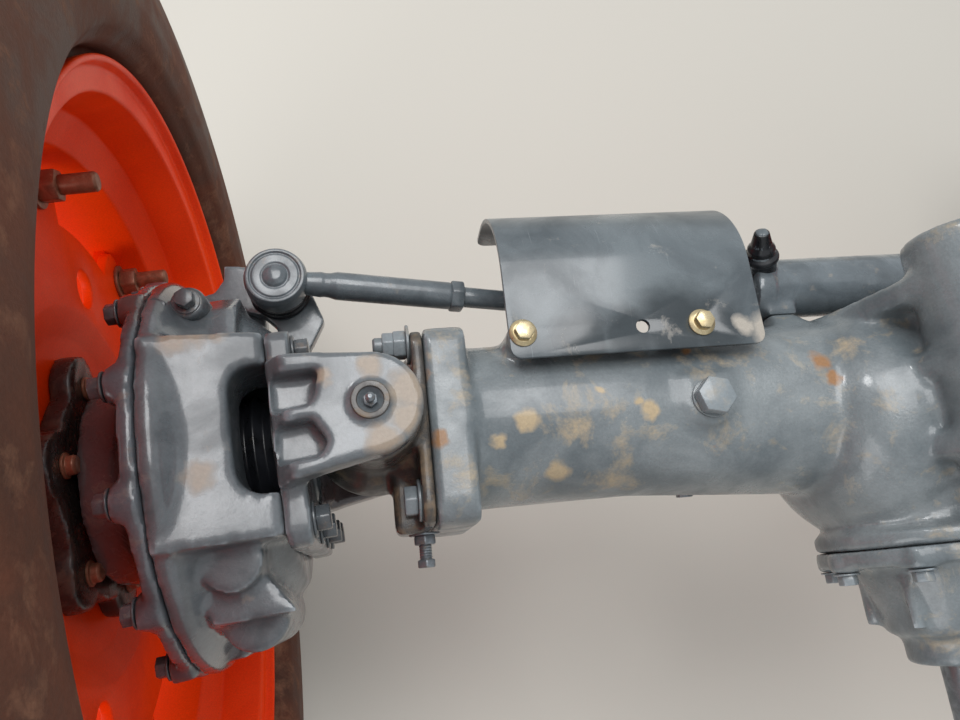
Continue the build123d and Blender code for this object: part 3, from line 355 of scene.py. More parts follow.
# The enamel on the axle tube, cast more coarsely: grainier, scuffed to tan and light grey along the
# top where boots and straw rub it, with rust that starts at chips and at the flange's edge.
beam_paint = layered(
    "grey_enamel_on_axle_tube", "#7d8385", "#596165", dirt="#a89679", dirt_cover=0.37,
    rust="#8f6a48", rust_cover=0.13, patch=80, grain=2.2, grain_depth=0.5, coat=0.45,
    edge="#8b949a", mud_spots=((-256, -9, -58, 8), (-264, -2, -58, 5), (-354, -10, -58, 9),
    (-330, -50, -76, 10), (-376, -23, -61, 6), (-294, 8, -58, 5)), rust_spots=((-213, 39, -70, 5),
    (-107, 17, -60, 9), (-100, 5, -56, 6), (-423, -20, -56, 7), (-424, 30, -60, 6),
    (-423, -66, -100, 9)))
print("made:", *(m.name for m in (case_paint, dark_case_paint, cover_paint, beam_paint)))

# %% [markdown]
# ## Iron, sheet and rods
#
# Round the kingpins, where grease creeps out and soil sticks to it, the carrier's iron shows. Rolled
# sheet and turned rods take the same grey as the castings but have no sand in their skin, so a finer
# grain, a thinner coat and a few scratches tell them apart.

# %% Iron, sheet and rods
# Where rain stands dark along the guard's rear edge.
GUARD_WATER = ((-304, 47, -48, 26), (-266, 50, -48, 24), (-226, 56, -44, 36), (-192, 52, -48, 26))
# Bare machined and cast iron round the joint, dark with grease and soil and rusting in patches.
carrier_iron = layered(
    "oily_iron_of_carrier", "#4c4945", "#332f2c", dirt="#7a6750", dirt_cover=0.46, rust="#86573a",
    rust_cover=0.32, patch=36, grain=2.0, grain_depth=0.5, coat=0.3)
# Satin enamel on bent steel sheet: smooth, finely scratched and dusty, dark where water stands.
guard_paint = layered(
    "satin_enamel_on_sheet", "#656d71", "#444c51", dirt="#a39c92", dirt_cover=0.22, rust="#8a5a3a",
    rust_cover=0.03, patch=70, grain=1.2, grain_depth=0.08, dull=0.40, wet=0.24,
    scratches="#a7aeb2", coat=0.25, film_and_shade=GUARD_WATER, film_and_shade_colour="#2b3236",
    mud_spots=((-150, 46, -48, 15), (-168, 52, -48, 9)))
# Thin enamel on turned steel: smooth, with narrow highlights along the rods.
rod_paint = layered(
    "grey_enamel_on_rods", "#666e73", "#4c5459", dirt="#8d8376", dirt_cover=0.22, rust="#8a5a3a",
    rust_cover=0.06, patch=30, grain=1.5, grain_depth=0.15, coat=0.5)
print("made:", *(m.name for m in (carrier_iron, guard_paint, rod_paint)))

# %% [markdown]
# ## The wheel's finishes
#
# Wheels are pressed from sheet and stoved in their own bright colour before they meet the axle. The
# tyre is rubber, but hardly any of it shows: what is seen is the mud that dried on it.

# %% Wheel, hub and tyre
# Orange-red stove enamel on pressed steel. It mirrors little but itself, so it stays deep in colour.
wheel_paint = layered(
    "orange_wheel_enamel", "#ff460a", "#f53c04", dirt="#b34a20", dirt_cover=0.10, rust="#7b3a20",
    rust_cover=0.02, patch=120, grain=1.5, grain_depth=0.10, dull=0.42, wet=0.32, shine=0.10)
# A dark casting under oil and road dirt, which sets off the orange disc behind it.
hub_iron = layered(
    "dark_iron_of_hub", "#352b28", "#241e1c", dirt="#574336", dirt_cover=0.45, rust="#603a26",
    rust_cover=0.26, patch=40, grain=2.0, grain_depth=0.5, coat=0.15)
# Black rubber under dried brown mud: matt, ragged in colour, thicker in the hollows of the grain.
tyre_rubber = layered(
    "muddy_tyre_rubber", "#50372d", "#643f31", dirt="#85604c", dirt_cover=0.54, rust="#5f3f30",
    rust_cover=0.32, patch=60, grain=2.5, grain_depth=0.5, dull=0.72, wet=0.5, shine=0.12)
print("made:", *(m.name for m in (wheel_paint, hub_iron, tyre_rubber)))

# %% [markdown]
# ## Rubber, plating and bare steel
#
# Small parts are bought in and fitted after the paint, so they bring other colours: black rubber,
# yellow zinc, grey and rusty steel. Metal shows little but what it mirrors, so these differ most in
# how metallic and how rough they are.

# %% Rubber, plating and bare steel
# Moulded rubber of boots and bellows: near black, with a soft sheen that shows each fold.
rubber = layered(
    "moulded_boot_rubber", "#141517", "#1f2126", dirt="#4d4740", dirt_cover=0.22, patch=20,
    grain=1.0, grain_depth=0.08, dull=0.42, wet=0.25)
# Yellow passivated zinc on flange bolts: pale gold, the one warm bright metal on the grey sheet.
zinc_yellow = layered(
    "yellow_passivated_zinc", "#d3c3a0", "#b8a781", dirt="#7d6a4c", dirt_cover=0.22,
    rust="#6b3f22", rust_cover=0.16, patch=9, grain=1.0, grain_depth=0.05, dull=0.45, wet=0.25,
    metallic=0.8)
# Grey oiled steel of nipples and set screws: bright where tools touch it, rusty in the threads.
bolt_steel = layered(
    "grey_bolt_steel", "#8d9398", "#6f757a", dirt="#7d6d5a", dirt_cover=0.38, rust="#7a4a2c",
    rust_cover=0.22, patch=12, grain=1.0, grain_depth=0.06, dull=0.45, wet=0.28, metallic=0.7)
# Studs that have lost their plating: copper-brown, half metal and half rust.
rusty_steel = layered(
    "rusty_copper_brown_steel", "#9a6a52", "#7a4e3a", dirt="#a5866c", dirt_cover=0.34,
    rust="#5e3220", rust_cover=0.26, patch=10, grain=1.0, grain_depth=0.08, dull=0.5, wet=0.3,
    metallic=0.35)
# Ground hard chrome of the piston rod: the one mirror on the axle, with a little wiped dirt.
chrome = layered(
    "hard_chrome", "#c3c6c9", "#a9adb1", dirt="#6e665c", dirt_cover=0.12, patch=40, grain=1.0,
    grain_depth=0.01, dull=0.2, wet=0.1, metallic=1.0)
print("made:", *(m.name for m in (rubber, zinc_yellow, bolt_steel, rusty_steel, chrome)))

# %% [markdown]
# ## Left and right
#
# Both ends of the axle are the same piece, mirrored. A left-hand piece is drawn in millimetres about
# its own kingpin, and one matrix takes it to its place: it scales to metres, mirrors for the right
# end, turns with the knuckle, and moves out to the kingpin. What belongs to the wheel is drawn about
# the wheel's axis, with Z pointing outwards.

# %% Places
HANDS = ("left", "right")
STEER_REST = 5.0


def side_place(hand, steered=True):
    """The matrix from a left-hand drawing in mm, about its kingpin, to its place on that end.

    steered pieces turn with the knuckle, and the others stay with the beam.
    """
    sign = -1 if hand == "left" else 1
    return (Matrix.Translation((sign * KINGPIN_X * MM, 0, -PIVOT_RISE * MM))
            @ Matrix.Rotation(math.radians(STEER_REST if steered else 0), 4, "Z")
            @ Matrix.Diagonal((-sign * MM, MM, MM, 1)))


WHEEL_AXIS = Matrix(((0, 0, -1, 0), (1, 0, 0, 0), (0, -1, 0, -WHEEL_DROP), (0, 0, 0, 1)))


def wheel_place(hand):
    """As side_place, for a drawing about the wheel's axis: Z outwards, X forward at angle 0."""
    return side_place(hand) @ WHEEL_AXIS


def on_circle(radius, angle, height=0.0, flip=False):
    """A place on a bolt circle about Z; flip turns the piece to point down the axis."""
    spot = Matrix.Rotation(math.radians(angle), 4, "Z") @ Matrix.Translation((radius, 0, height))
    return spot @ Matrix.Rotation(math.pi, 4, "X") if flip else spot


def facing(at, direction):
    """A place at a point, with Z along the direction."""
    return Matrix.Translation(at) @ Vector(direction).to_track_quat("Z", "Y").to_matrix().to_4x4()


print("left kingpin at", [round(v, 3) for v in side_place("left").translation])

# %% [markdown]
# ## From shapes to pieces
#
# Nearly everything is turned on a lathe, a hexagon or a block, so three helpers draw these. A turned
# shape is a line of points spun round an axis, its corners rounded first: a lathe works the same way.
# Two more take a shape on. One joins it to a piece at its place, with its faces turned outwards
# again, because a mirrored place turns them in. The other gives the piece its material and lets it
# ride on the body that carries it.

# %% Helpers for shapes
WELD = 1e-4  # points of a turned shape nearer than this, in mm, are one


def rounded(shape, geom, offset, segments=2, affect="EDGES", **settings):
    """Round some edges of a shape, or with affect="VERTICES" the corners of a line."""
    bmesh.ops.bevel(shape, geom=geom, offset=offset, segments=segments, affect=affect,
                    profile=0.5, material=-1, **settings)


def turned(points, steps=48, ease=0.0, closed=False):
    """Spin (radius, height) points round Z.

    ease rounds the corners, and closed joins the last point to the first.
    """
    shape = bmesh.new()
    line = [shape.verts.new((radius, 0, height)) for radius, height in points]
    for first, second in zip(line, line[1:]):
        shape.edges.new((first, second))
    if closed:
        shape.edges.new((line[-1], line[0]))
    if ease:
        rounded(shape, line if closed else line[1:-1], ease, 3, offset_type="OFFSET",
                affect="VERTICES", clamp_overlap=True)
    bmesh.ops.spin(shape, geom=shape.verts[:] + shape.edges[:], cent=(0, 0, 0), axis=(0, 0, 1),
                   dvec=(0, 0, 0), angle=2 * math.pi, steps=steps, use_merge=True)
    bmesh.ops.remove_doubles(shape, verts=shape.verts, dist=WELD)
    return shape


def hexagon(across, height, ease=0.07):
    """A hexagon head or nut with its base at the origin, standing along Z."""
    shape = bmesh.new()
    bmesh.ops.create_cone(shape, cap_ends=True, segments=6, radius1=across / math.sqrt(3),
                          radius2=across / math.sqrt(3), depth=height)
    bmesh.ops.translate(shape, verts=shape.verts, vec=(0, 0, height / 2))
    rounded(shape, shape.edges[:], ease * across)
    return shape


def block(size, centre, ease):
    """A block with rounded edges."""
    shape = bmesh.new()
    bmesh.ops.create_cube(shape, size=1.0)
    bmesh.ops.scale(shape, verts=shape.verts, vec=size)
    rounded(shape, shape.edges[:], ease, 3)
    bmesh.ops.translate(shape, verts=shape.verts, vec=centre)
    return shape


sample = hexagon(14, 8)
print("one small bolt head:", len(sample.faces), "faces")
sample.free()

# %% Helpers for pieces
SMOOTH_ANGLE = 35.0  # faces that meet at less than this look like one curved face


def join(piece, shape, place):
    """Move a shape to its place and add it to a piece, with its faces turned outwards."""
    bmesh.ops.transform(shape, matrix=place, verts=shape.verts)
    bmesh.ops.recalc_face_normals(shape, faces=shape.faces)
    scrap = bpy.data.meshes.new("scrap")
    shape.to_mesh(scrap)
    shape.free()
    piece.from_mesh(scrap)
    bpy.data.meshes.remove(scrap)


def finish(name, piece, body, material, replaces=()):
    """Make the object of a piece, smooth it, and let it ride on its body in a material slot."""
    data = bpy.data.meshes.new(name)
    piece.to_mesh(data)
    piece.free()
    data.materials.append(material)
    data.shade_smooth()
    data.set_sharp_from_angle(angle=math.radians(SMOOTH_ANGLE))
    made = bpy.data.objects.new(name, data)
    bpy.context.scene.collection.objects.link(made)
    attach(made, body)
    if replaces:
        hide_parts(*replaces)
    print(name, len(data.polygons), "faces")


print("smooth up to", SMOOTH_ANGLE, "degrees")

# %% [markdown]
# ## Castings
#
# Sand castings have no sharp edges. The CAD solid has them all, so each casting is a copy of its CAD
# node that goes through a voxel remesh, which rebuilds the surface as small even squares, and then a
# few passes of smoothing, which round the edges by two or three millimetres. The machined faces, the
# bolts and the fittings come afterwards as pieces of their own, and stay crisp.

# %% The casting helper
CAD_WELD = 1e-6  # the same for copies of CAD nodes, in metres


def cast(node_name, voxel, passes):
    """A copy of a CAD node with the soft edges of a casting. voxel is in mm."""
    shape = bmesh.new()
    shape.from_mesh(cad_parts[node_name].data)
    bmesh.ops.remove_doubles(shape, verts=shape.verts, dist=CAD_WELD)
    data = bpy.data.meshes.new("mould")
    shape.to_mesh(data)
    shape.free()
    mould = bpy.data.objects.new("mould", data)
    bpy.context.scene.collection.objects.link(mould)
    sand = mould.modifiers.new("sand", "REMESH")
    sand.mode = "VOXEL"
    sand.voxel_size = voxel * MM
    remeshed = mould.evaluated_get(bpy.context.evaluated_depsgraph_get())
    rough = bpy.data.meshes.new_from_object(remeshed)
    shape = bmesh.new()
    shape.from_mesh(rough)
    for _ in range(passes):
        bmesh.ops.smooth_vert(shape, verts=shape.verts, factor=0.5,
                              use_axis_x=True, use_axis_y=True, use_axis_z=True)
    bpy.data.objects.remove(mould)
    bpy.data.meshes.remove(data)
    bpy.data.meshes.remove(rough)
    return shape


print("CAD axle housing:", len(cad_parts["axle_housing"].data.polygons), "faces")

# %% Cast every casting
CASTINGS = (  # node, voxel in mm, passes of smoothing, body, slot, material
    ("axle_housing", 3.5, 5, "axle", "beam_paint", beam_paint),
    ("pinion_housing", 3.0, 4, "axle", "beam_paint", beam_paint),
    ("steering_cylinder", 2.6, 3, "axle", "rod_paint", rod_paint),
    ("kingpin_carrier", 2.7, 4, "axle", "cast_dark", carrier_iron),
    ("knuckle_yoke", 2.35, 5, "knuckle", "case_paint", case_paint),
    ("final_case", 2.7, 5, "knuckle", "case_paint", case_paint),
    ("case_cover", 3.1, 4, "knuckle", "case_paint", cover_paint),
    ("steering_arm", 1.7, 4, "knuckle", "case_paint", case_paint),
    ("wheel_hub", 2.9, 4, "wheel", "hub_iron", hub_iron),
)
for cad_name, voxel, passes, body, slot_name, material in CASTINGS:
    for hand in HANDS:
        node_name = cad_name if cad_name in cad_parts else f"{cad_name}_{hand}"
        if node_name == cad_name and hand == "right":
            continue
        rides = body if body == "axle" else f"{body}_{hand}"
        finish(f"cast_{node_name}", cast(node_name, voxel, passes), rides, material,
               replaces=(node_name,))

# %% [markdown]
# ## Plates, rods and the disc
#
# Pressed and machined pieces keep their crisp CAD form. Their triangles are first dissolved into flat
# faces, and then only the sharp edges get a narrow bevel, which is what catches the light on sheet
# metal.

# %% Crisp pieces
FLAT_ANGLE = 1.0  # degrees between faces that count as one flat face
SHARP_ANGLE = 40.0  # degrees from which an edge gets its bevel


def crisp(node_name, ease):
    """A copy of a CAD node with narrow bevels on its sharp edges. ease is in mm."""
    shape = bmesh.new()
    shape.from_mesh(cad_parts[node_name].data)
    bmesh.ops.remove_doubles(shape, verts=shape.verts, dist=CAD_WELD)
    bmesh.ops.dissolve_limit(shape, angle_limit=math.radians(FLAT_ANGLE), verts=shape.verts,
                             edges=shape.edges)
    sharp = [e for e in shape.edges
             if len(e.link_faces) == 2 and e.calc_face_angle(0) > math.radians(SHARP_ANGLE)]
    rounded(shape, sharp, ease * MM, offset_type="OFFSET", clamp_overlap=True)
    bmesh.ops.triangulate(shape, faces=[f for f in shape.faces if len(f.verts) > 4])
    return shape


CRISP = (  # node, bevel in mm, body, slot, material
    ("cylinder_guard", 0.9, "axle", "guard_paint", guard_paint),
    ("wheel_disc", 1.5, "wheel", "wheel_paint", wheel_paint),
)
for cad_name, ease, body, slot_name, material in CRISP:
    for hand in HANDS:
        rides = body if body == "axle" else f"{body}_{hand}"
        finish(f"{cad_name}_plate_{hand}", crisp(f"{cad_name}_{hand}", ease), rides,
               material, replaces=(f"{cad_name}_{hand}",))

# %% Rod and shaft, which only need their material
for node_name, material in (("steering_rod", chrome), ("input_shaft", bolt_steel)):
    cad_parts[node_name].data.materials.clear()
    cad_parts[node_name].data.materials.append(material)
    print(node_name, "is", material.name)

# %% [markdown]
# ## The rim
#
# A drop-centre rim is rolled from one strip: a flange that holds the tyre, a bead seat, and the deep
# well that lets the tyre be levered on. So its section is drawn once, with its corners rounded, and
# spun. The disc bolts to eight lugs inside the well, each with a hexagon nut on a washer.

# %% The rim's section
RIM_R = 324.0
RIM_T = 6.0
RIM_INNER = 143.0
RIM_WIDTH = 227.0
BEAD_R = RIM_R - 19.0
WELL_R = BEAD_R - 29.0
rim_half = (  # distance in from the rim's edge, radius of the tyre side, radius of the wheel side
    (0, RIM_R - 1, RIM_R - RIM_T), (12, RIM_R - 3, RIM_R - RIM_T - 2), (13, BEAD_R, BEAD_R - RIM_T),
    (52, BEAD_R - 4, BEAD_R - RIM_T - 4), (66, WELL_R, WELL_R - RIM_T),
)
tyre_side = [(r, RIM_INNER + d) for d, r, _ in rim_half]
tyre_side += [(r, RIM_INNER + RIM_WIDTH - d) for d, r, _ in reversed(rim_half)]
wheel_side = [(r, RIM_INNER + RIM_WIDTH - max(d - 3, 0)) for d, _, r in rim_half]
wheel_side += [(r, RIM_INNER + max(d - 3, 0)) for d, _, r in reversed(rim_half)]
print("corners of the section:", len(tyre_side + wheel_side))

# %% Rims with their lugs and nuts
RIM_LUG_R = WELL_R - 33.0
RIM_LUGS = 8
DISC_FACE = 228.0
DISC_T = 9.0
RIM_LUG_SIZE, RIM_LUG_MIDDLE = (62, 44, 12), (4, 0, 6)
LUG_NUT, LUG_LOCKNUT = (24, 15), (24, 11)  # width across flats, height, as for all nuts below
lug_washer = ((0, 0), (17, 0), (17, 3), (0, 3))
lug_stud = ((0, 16), (8, 16), (8, 44), (6.5, 46), (0, 46))
for hand in HANDS:
    rim = bmesh.new()
    join(rim, turned(tyre_side + wheel_side, steps=144, ease=2.6, closed=True), wheel_place(hand))
    nuts = bmesh.new()
    for count in range(RIM_LUGS):
        angle = 360 / RIM_LUGS * (count + 0.5)
        spot = wheel_place(hand) @ on_circle(RIM_LUG_R, angle, DISC_FACE + DISC_T)
        join(rim, block(RIM_LUG_SIZE, RIM_LUG_MIDDLE, 2.5), spot)
        head = wheel_place(hand) @ on_circle(RIM_LUG_R, angle, DISC_FACE, flip=True)
        join(nuts, turned(lug_washer, steps=40, ease=0.7), head)
        join(nuts, hexagon(*LUG_NUT), head @ Matrix.Translation((0, 0, lug_washer[-1][1])))
        join(nuts, turned(lug_stud, steps=28, ease=0.6), head)
        join(nuts, hexagon(*LUG_LOCKNUT), spot @ Matrix.Translation((0, 0, RIM_LUG_SIZE[2])))
    finish(f"rim_barrel_{hand}", rim, f"wheel_{hand}", wheel_paint,
           replaces=(f"rim_{hand}",))
    finish(f"rim_nuts_{hand}", nuts, f"wheel_{hand}", rusty_steel)

# %% [markdown]
# ## The tyre
#
# A farm tyre is a smooth casing with two rows of tall slanting lugs that run out over its shoulders.
# The casing is a spun section. One lug is a small grid, the section of the lug from the tread's
# middle to the shoulder, which is extruded to the lug's thickness, slanted, and bent round the wheel.
# The other lugs are copies of it, turned and mirrored.

# %% The tyre's section
TYRE_WIDTH = 241.0
WHEEL_MID = RIM_INNER + RIM_WIDTH / 2
half = TYRE_WIDTH / 2
crown_r = TYRE_R - 27.0
tyre_outside = (  # distance from the middle of the tyre, radius
    (99.5, BEAD_R + 0.3), (99.5, RIM_R + 3), (109, RIM_R + 8), (113, RIM_R + 20),
    (118, RIM_R + 26), (half, RIM_R + 70), (half - 4, crown_r - 60), (half - 14, crown_r - 26),
    (half - 36, crown_r - 8), (30, crown_r),
)
tyre_inboard = (  # the same for the side towards the axle, which bulges further over the rim
    (99.5, BEAD_R + 0.3), (99.5, RIM_R + 3), (116, RIM_R + 5), (122, RIM_R + 11), (129, RIM_R + 16),
    (134, RIM_R + 36), (134, RIM_R + 62), (128, crown_r - 78), (half - 5, crown_r - 44),
    (half - 22, crown_r - 16), (half - 48, crown_r - 4), (30, crown_r),
)
tyre_inside = ((85.5, BEAD_R + 0.3), (half - 20, RIM_R + 40), (half - 22, crown_r - 60),
               (half - 50, crown_r - 36))
casing_line = [(r, WHEEL_MID + x) for x, r in tyre_outside]
casing_line += [(r, WHEEL_MID - x) for x, r in reversed(tyre_inboard)]
casing_line += [(r, WHEEL_MID - x) for x, r in tyre_inside]
casing_line += [(r, WHEEL_MID + x) for x, r in reversed(tyre_inside)]
print("corners of the casing:", len(casing_line))

# %% One lug
LUG_STEPS = 8
# Its outer edge and its foot at each step: distance from the middle, radius.
LUG_TOP = ((-3, 522.5), (16, 522.5), (34, 521.5), (52, 519), (70, 514), (86, 506), (99, 494.5),
           (110, 475), (116, 450))
LUG_BOTTOM = ((-3, 486), (16, 486), (34, 486), (52, 484), (70, 480), (82, 474), (92, 466),
              (100, 458), (106, 448))
LUG_SLANT = (0, 10, 24, 37, 48, 57, 64, 69, 72)  # how far round the tread each step lies
LUG_THICKNESS = (25, 25, 25, 26, 27, 28, 30, 33, 36)
LUG_DRAFT = 0.25  # how much thicker a lug is at its foot, as a share
LUG_EASE = 3.2  # the radius of its edges
LUG_SHARP = 50.0  # degrees from which an edge of a lug is rounded


def tread_lug(row):
    """One lug in the wheel's frame, at angle 0. row is +1 for the outer side, -1 for the inner."""
    lug = bmesh.new()
    bmesh.ops.create_grid(lug, x_segments=LUG_STEPS, y_segments=1, size=1.0)
    for vert in lug.verts:
        step = round((vert.co.x + 1) / 2 * LUG_STEPS)
        share = (vert.co.y + 1) / 2
        across, radius = Vector(LUG_BOTTOM[step]).lerp(Vector(LUG_TOP[step]), share)
        vert.co = (across, step, radius)
    side = bmesh.ops.extrude_face_region(lug, geom=lug.faces[:])
    far = {v for v in side["geom"] if isinstance(v, bmesh.types.BMVert)}
    for vert in lug.verts:
        step = round(vert.co.y)
        foot, top = LUG_BOTTOM[step][1], LUG_TOP[step][1]
        draft = 1.0 + LUG_DRAFT * (1 - (vert.co.z - foot) / (top - foot))
        along = LUG_SLANT[step] + LUG_THICKNESS[step] * draft * (0.5 if vert in far else -0.5)
        angle = along / TYRE_R
        across, radius = vert.co.x, vert.co.z
        vert.co = (radius * math.cos(angle), radius * math.sin(angle), WHEEL_MID + row * across)
    bmesh.ops.recalc_face_normals(lug, faces=lug.faces)
    sharp = [e for e in lug.edges if e.calc_face_angle(0) > math.radians(LUG_SHARP)]
    rounded(lug, sharp, LUG_EASE, clamp_overlap=True)
    return lug


print("a lug's steps across the tread:", LUG_STEPS)

# %% Tyres
LUGS = 19  # in each row
for hand in HANDS:
    tyre = bmesh.new()
    join(tyre, turned(casing_line, steps=144, ease=4.0, closed=True), wheel_place(hand))
    for count in range(LUGS):
        for row, shift in ((-1, 0.5), (1, 0.0)):
            roll = Matrix.Rotation(math.radians(360 / LUGS * (count + shift)), 4, "Z")
            join(tyre, tread_lug(row), wheel_place(hand) @ roll)
    finish(f"lugged_tyre_{hand}", tyre, f"wheel_{hand}", tyre_rubber,
           replaces=(f"tyre_{hand}",))

# %% [markdown]
# ## Bolts
#
# Bolts tell the size of a machine, so each stands where a real one does. A real one is forged and its
# thread rolled, but only its head shows: a small hexagon with rounded edges on a thin washer. No
# thread is modelled, except on the stop bolts, where rings stand for it.

# %% A bolt
WASHER_LIFT, WASHER_REACH = 0.12, 0.75  # height and radius, as shares of the width across flats


def bolt(piece, place, across, height):
    """A hexagon bolt head on its washer, standing on place. Sizes are in mm."""
    lift, reach = WASHER_LIFT * across, WASHER_REACH * across
    washer = ((0, 0), (reach, 0), (reach, lift), (0, lift))
    join(piece, turned(washer, steps=32, ease=0.04 * across), place)
    join(piece, hexagon(across, height), place @ Matrix.Translation((0, 0, lift * 0.98)))


print("a 14 mm head has a washer of", 2 * WASHER_REACH * 14, "mm")

# %% Hub studs
# One through each of the hub's six lobes: the stud's riveted end inside, its nut on the disc's side.
HUB_FACE, HUB_NUT_FACE = 218.0, 245.0
HUB_BOLT_R = 83.0
HUB_BOLTS = 6
HUB_LOBE_TURN = 33.0
HUB_NUT = (21, 14)
hub_stud = ((0, 0), (9.5, 0), (9.5, 2), (7.2, 2.4), (7.2, 7), (5.8, 9), (0, 9))
for hand in HANDS:
    studs = bmesh.new()
    for count in range(HUB_BOLTS):
        angle = HUB_LOBE_TURN + 360 / HUB_BOLTS * count
        seat = wheel_place(hand) @ on_circle(HUB_BOLT_R, angle, HUB_FACE, flip=True)
        join(studs, turned(hub_stud, steps=28, ease=0.5), seat)
        outer_seat = wheel_place(hand) @ on_circle(HUB_BOLT_R, angle, HUB_NUT_FACE)
        join(studs, hexagon(*HUB_NUT), outer_seat)
    finish(f"hub_studs_{hand}", studs, f"wheel_{hand}", rusty_steel)

# %% Bolts on the case
# Twelve round the cover, seven through the yoke's face, and two on small upright bosses in front of
# the saddle.
COVER_BOLT_R = 149.0
COVER_BOSS_TOP = 168.0
COVER_BOLTS = 12
COVER_BOLT, YOKE_BOLT = (14, 8), (17, 10)
YOKE_FACE_X = -50.0
YOKE_BOLTS = ((56, 76), (-66, 76), (56, -76), (-66, -76), (-68, 28), (-68, -28), (58, -28))  # y, z
CASE_STUDS = (  # the bosses: x, y, radius, top, width of the bolt's head
    (-142, 103, 11, 72, 15), (-121, 107, 13, 76, 13),
)
BOSS_DEPTH = 52
for hand in HANDS:
    cover_bolts = bmesh.new()
    for count in range(COVER_BOLTS):
        angle = 360 / COVER_BOLTS * (count + 0.5)
        bolt(cover_bolts, wheel_place(hand) @ on_circle(COVER_BOLT_R, angle, COVER_BOSS_TOP),
             *COVER_BOLT)
    for y, z in YOKE_BOLTS:
        bolt(cover_bolts, side_place(hand) @ facing((YOKE_FACE_X, y, z), (1, 0, 0)), *YOKE_BOLT)
    for x, y, radius, top, across in CASE_STUDS:
        seat = side_place(hand) @ Matrix.Translation((x, y, top))
        boss = ((0, -BOSS_DEPTH), (radius + 2, -BOSS_DEPTH), (radius, -3), (radius - 2, 0), (0, 0))
        join(cover_bolts, turned(boss, steps=40, ease=1.5), seat)
        bolt(cover_bolts, seat, across, 9)
    finish(f"case_bolts_{hand}", cover_bolts, f"knuckle_{hand}", dark_case_paint)

# %% Flange bolts
# Four hold each carrier to the beam. The upper front one is a long stud with a nut on its end.
FLANGE_X = 42.0
CARRIER_T = 10.0
FLANGE_Y, FLANGE_Z = 61, 49
FLANGE_BOLT, STUD_NUT = (21, 10), (19, 9)
STUD_NUT_X = 20
flange_stud = ((0, 10), (7.0, 10), (7.0, 27), (5.5, 28.5), (0, 28.5))
for hand in HANDS:
    flange_bolts = bmesh.new()
    on_beam = side_place(hand, steered=False)
    for y in (-FLANGE_Y, FLANGE_Y):
        for z in (-FLANGE_Z, FLANGE_Z):
            seat = on_beam @ facing((FLANGE_X - CARRIER_T, y, z), (-1, 0, 0))
            bolt(flange_bolts, seat, *FLANGE_BOLT)
    seat = on_beam @ facing((FLANGE_X - CARRIER_T, FLANGE_Y, FLANGE_Z), (-1, 0, 0))
    join(flange_bolts, turned(flange_stud, steps=28, ease=0.5), seat)
    nut_seat = on_beam @ facing((STUD_NUT_X, FLANGE_Y, FLANGE_Z), (-1, 0, 0))
    join(flange_bolts, hexagon(*STUD_NUT), nut_seat)
    finish(f"flange_bolts_{hand}", flange_bolts, "axle", beam_paint)

# %% Stop bolts
# A set screw behind each carrier ends the steering's travel. It shows its thread.
STOP_SEAT = (34, -83, 18)
STOP_BOLT, STOP_NUT = (16, 7), (13, 6)
STOP_LENGTH = 24
thread = [(0, 0)] + [(5.0 - 0.5 * (step % 2), step) for step in range(3, STOP_LENGTH)]
thread += [(0, STOP_LENGTH)]
for hand in HANDS:
    stop_bolt = bmesh.new()
    seat = side_place(hand, steered=False) @ facing(STOP_SEAT, (0, -1, 0))
    bolt(stop_bolt, seat, *STOP_BOLT)
    join(stop_bolt, turned(thread, steps=20), seat)
    join(stop_bolt, hexagon(*STOP_NUT), seat @ Matrix.Translation((0, 0, STOP_LENGTH - 4)))
    finish(f"stop_bolt_{hand}", stop_bolt, "axle", bolt_steel)

# %% [markdown]
# ## Kingpins and their grease nipples
#
# A grease nipple sits in a ring on top of each kingpin. It is a turned piece too: a hexagon, a neck
# and the ball end that the grease gun clips to.

# %% Grease nipples
ARM_TOP = 120.0
NIPPLE_HEXAGON = (9, 5)
nipple = ((0, 4), (2.6, 4), (2.6, 8), (3.4, 10), (3.2, 12.5), (1.4, 14), (0, 14))
ring = ((13.2, -1), (13.2, 4.9), (8.8, 4.9), (8.8, -1))
for hand in HANDS:
    nipples = bmesh.new()
    for up in (1, -1):
        seat = side_place(hand) @ facing((0, 0, up * (ARM_TOP - 1)), (0, 0, up))
        join(nipples, hexagon(*NIPPLE_HEXAGON), seat)
        join(nipples, turned(nipple, steps=20, ease=0.3), seat)
    finish(f"grease_nipples_{hand}", nipples, f"knuckle_{hand}", bolt_steel)
    rings = bmesh.new()
    for up in (1, -1):
        seat = side_place(hand) @ facing((0, 0, up * ARM_TOP), (0, 0, up))
        join(rings, turned(ring, steps=40, ease=0.8, closed=True), seat)
    finish(f"kingpin_rings_{hand}", rings, f"knuckle_{hand}", carrier_iron)

# %% [markdown]
# ## Ball joints, tie rods and boots
#
# The outer ball joint is a forged cup closed by a pressed cap, with a groove where the cap is rolled
# in and a dome over the ball. A black rubber boot seals it below. The tube screws onto the rod and is
# held by a locknut. All of it is turned work, along one sloping line from the ball to the inner eye.

# %% Where a tie rod lies
ARM_R = 156.0
ARM_ANGLE = 23.0
TIE_LENGTH = 290.0
CYLINDER_Y = 110.0
TIE_Z = 12.0
EYE_Z = -26.0


def ball_place(hand):
    """The matrix from a tie rod drawn along +X, its ball at the origin, to its place at rest."""
    angle = STEER_REST if hand == "left" else -STEER_REST
    turn = math.radians(ARM_ANGLE + angle)
    reach = CYLINDER_Y - ARM_R * math.cos(turn)
    return (side_place(hand, steered=False)
            @ Matrix.Translation((-ARM_R * math.sin(turn), ARM_R * math.cos(turn), 0))
            @ Matrix.Rotation(reach / TIE_LENGTH, 4, "Z"))


slope = Vector((TIE_LENGTH, 0, EYE_Z - TIE_Z))
print("tie rods slope down by", round(math.degrees(math.asin(-slope.normalized().z)), 1), "degrees")

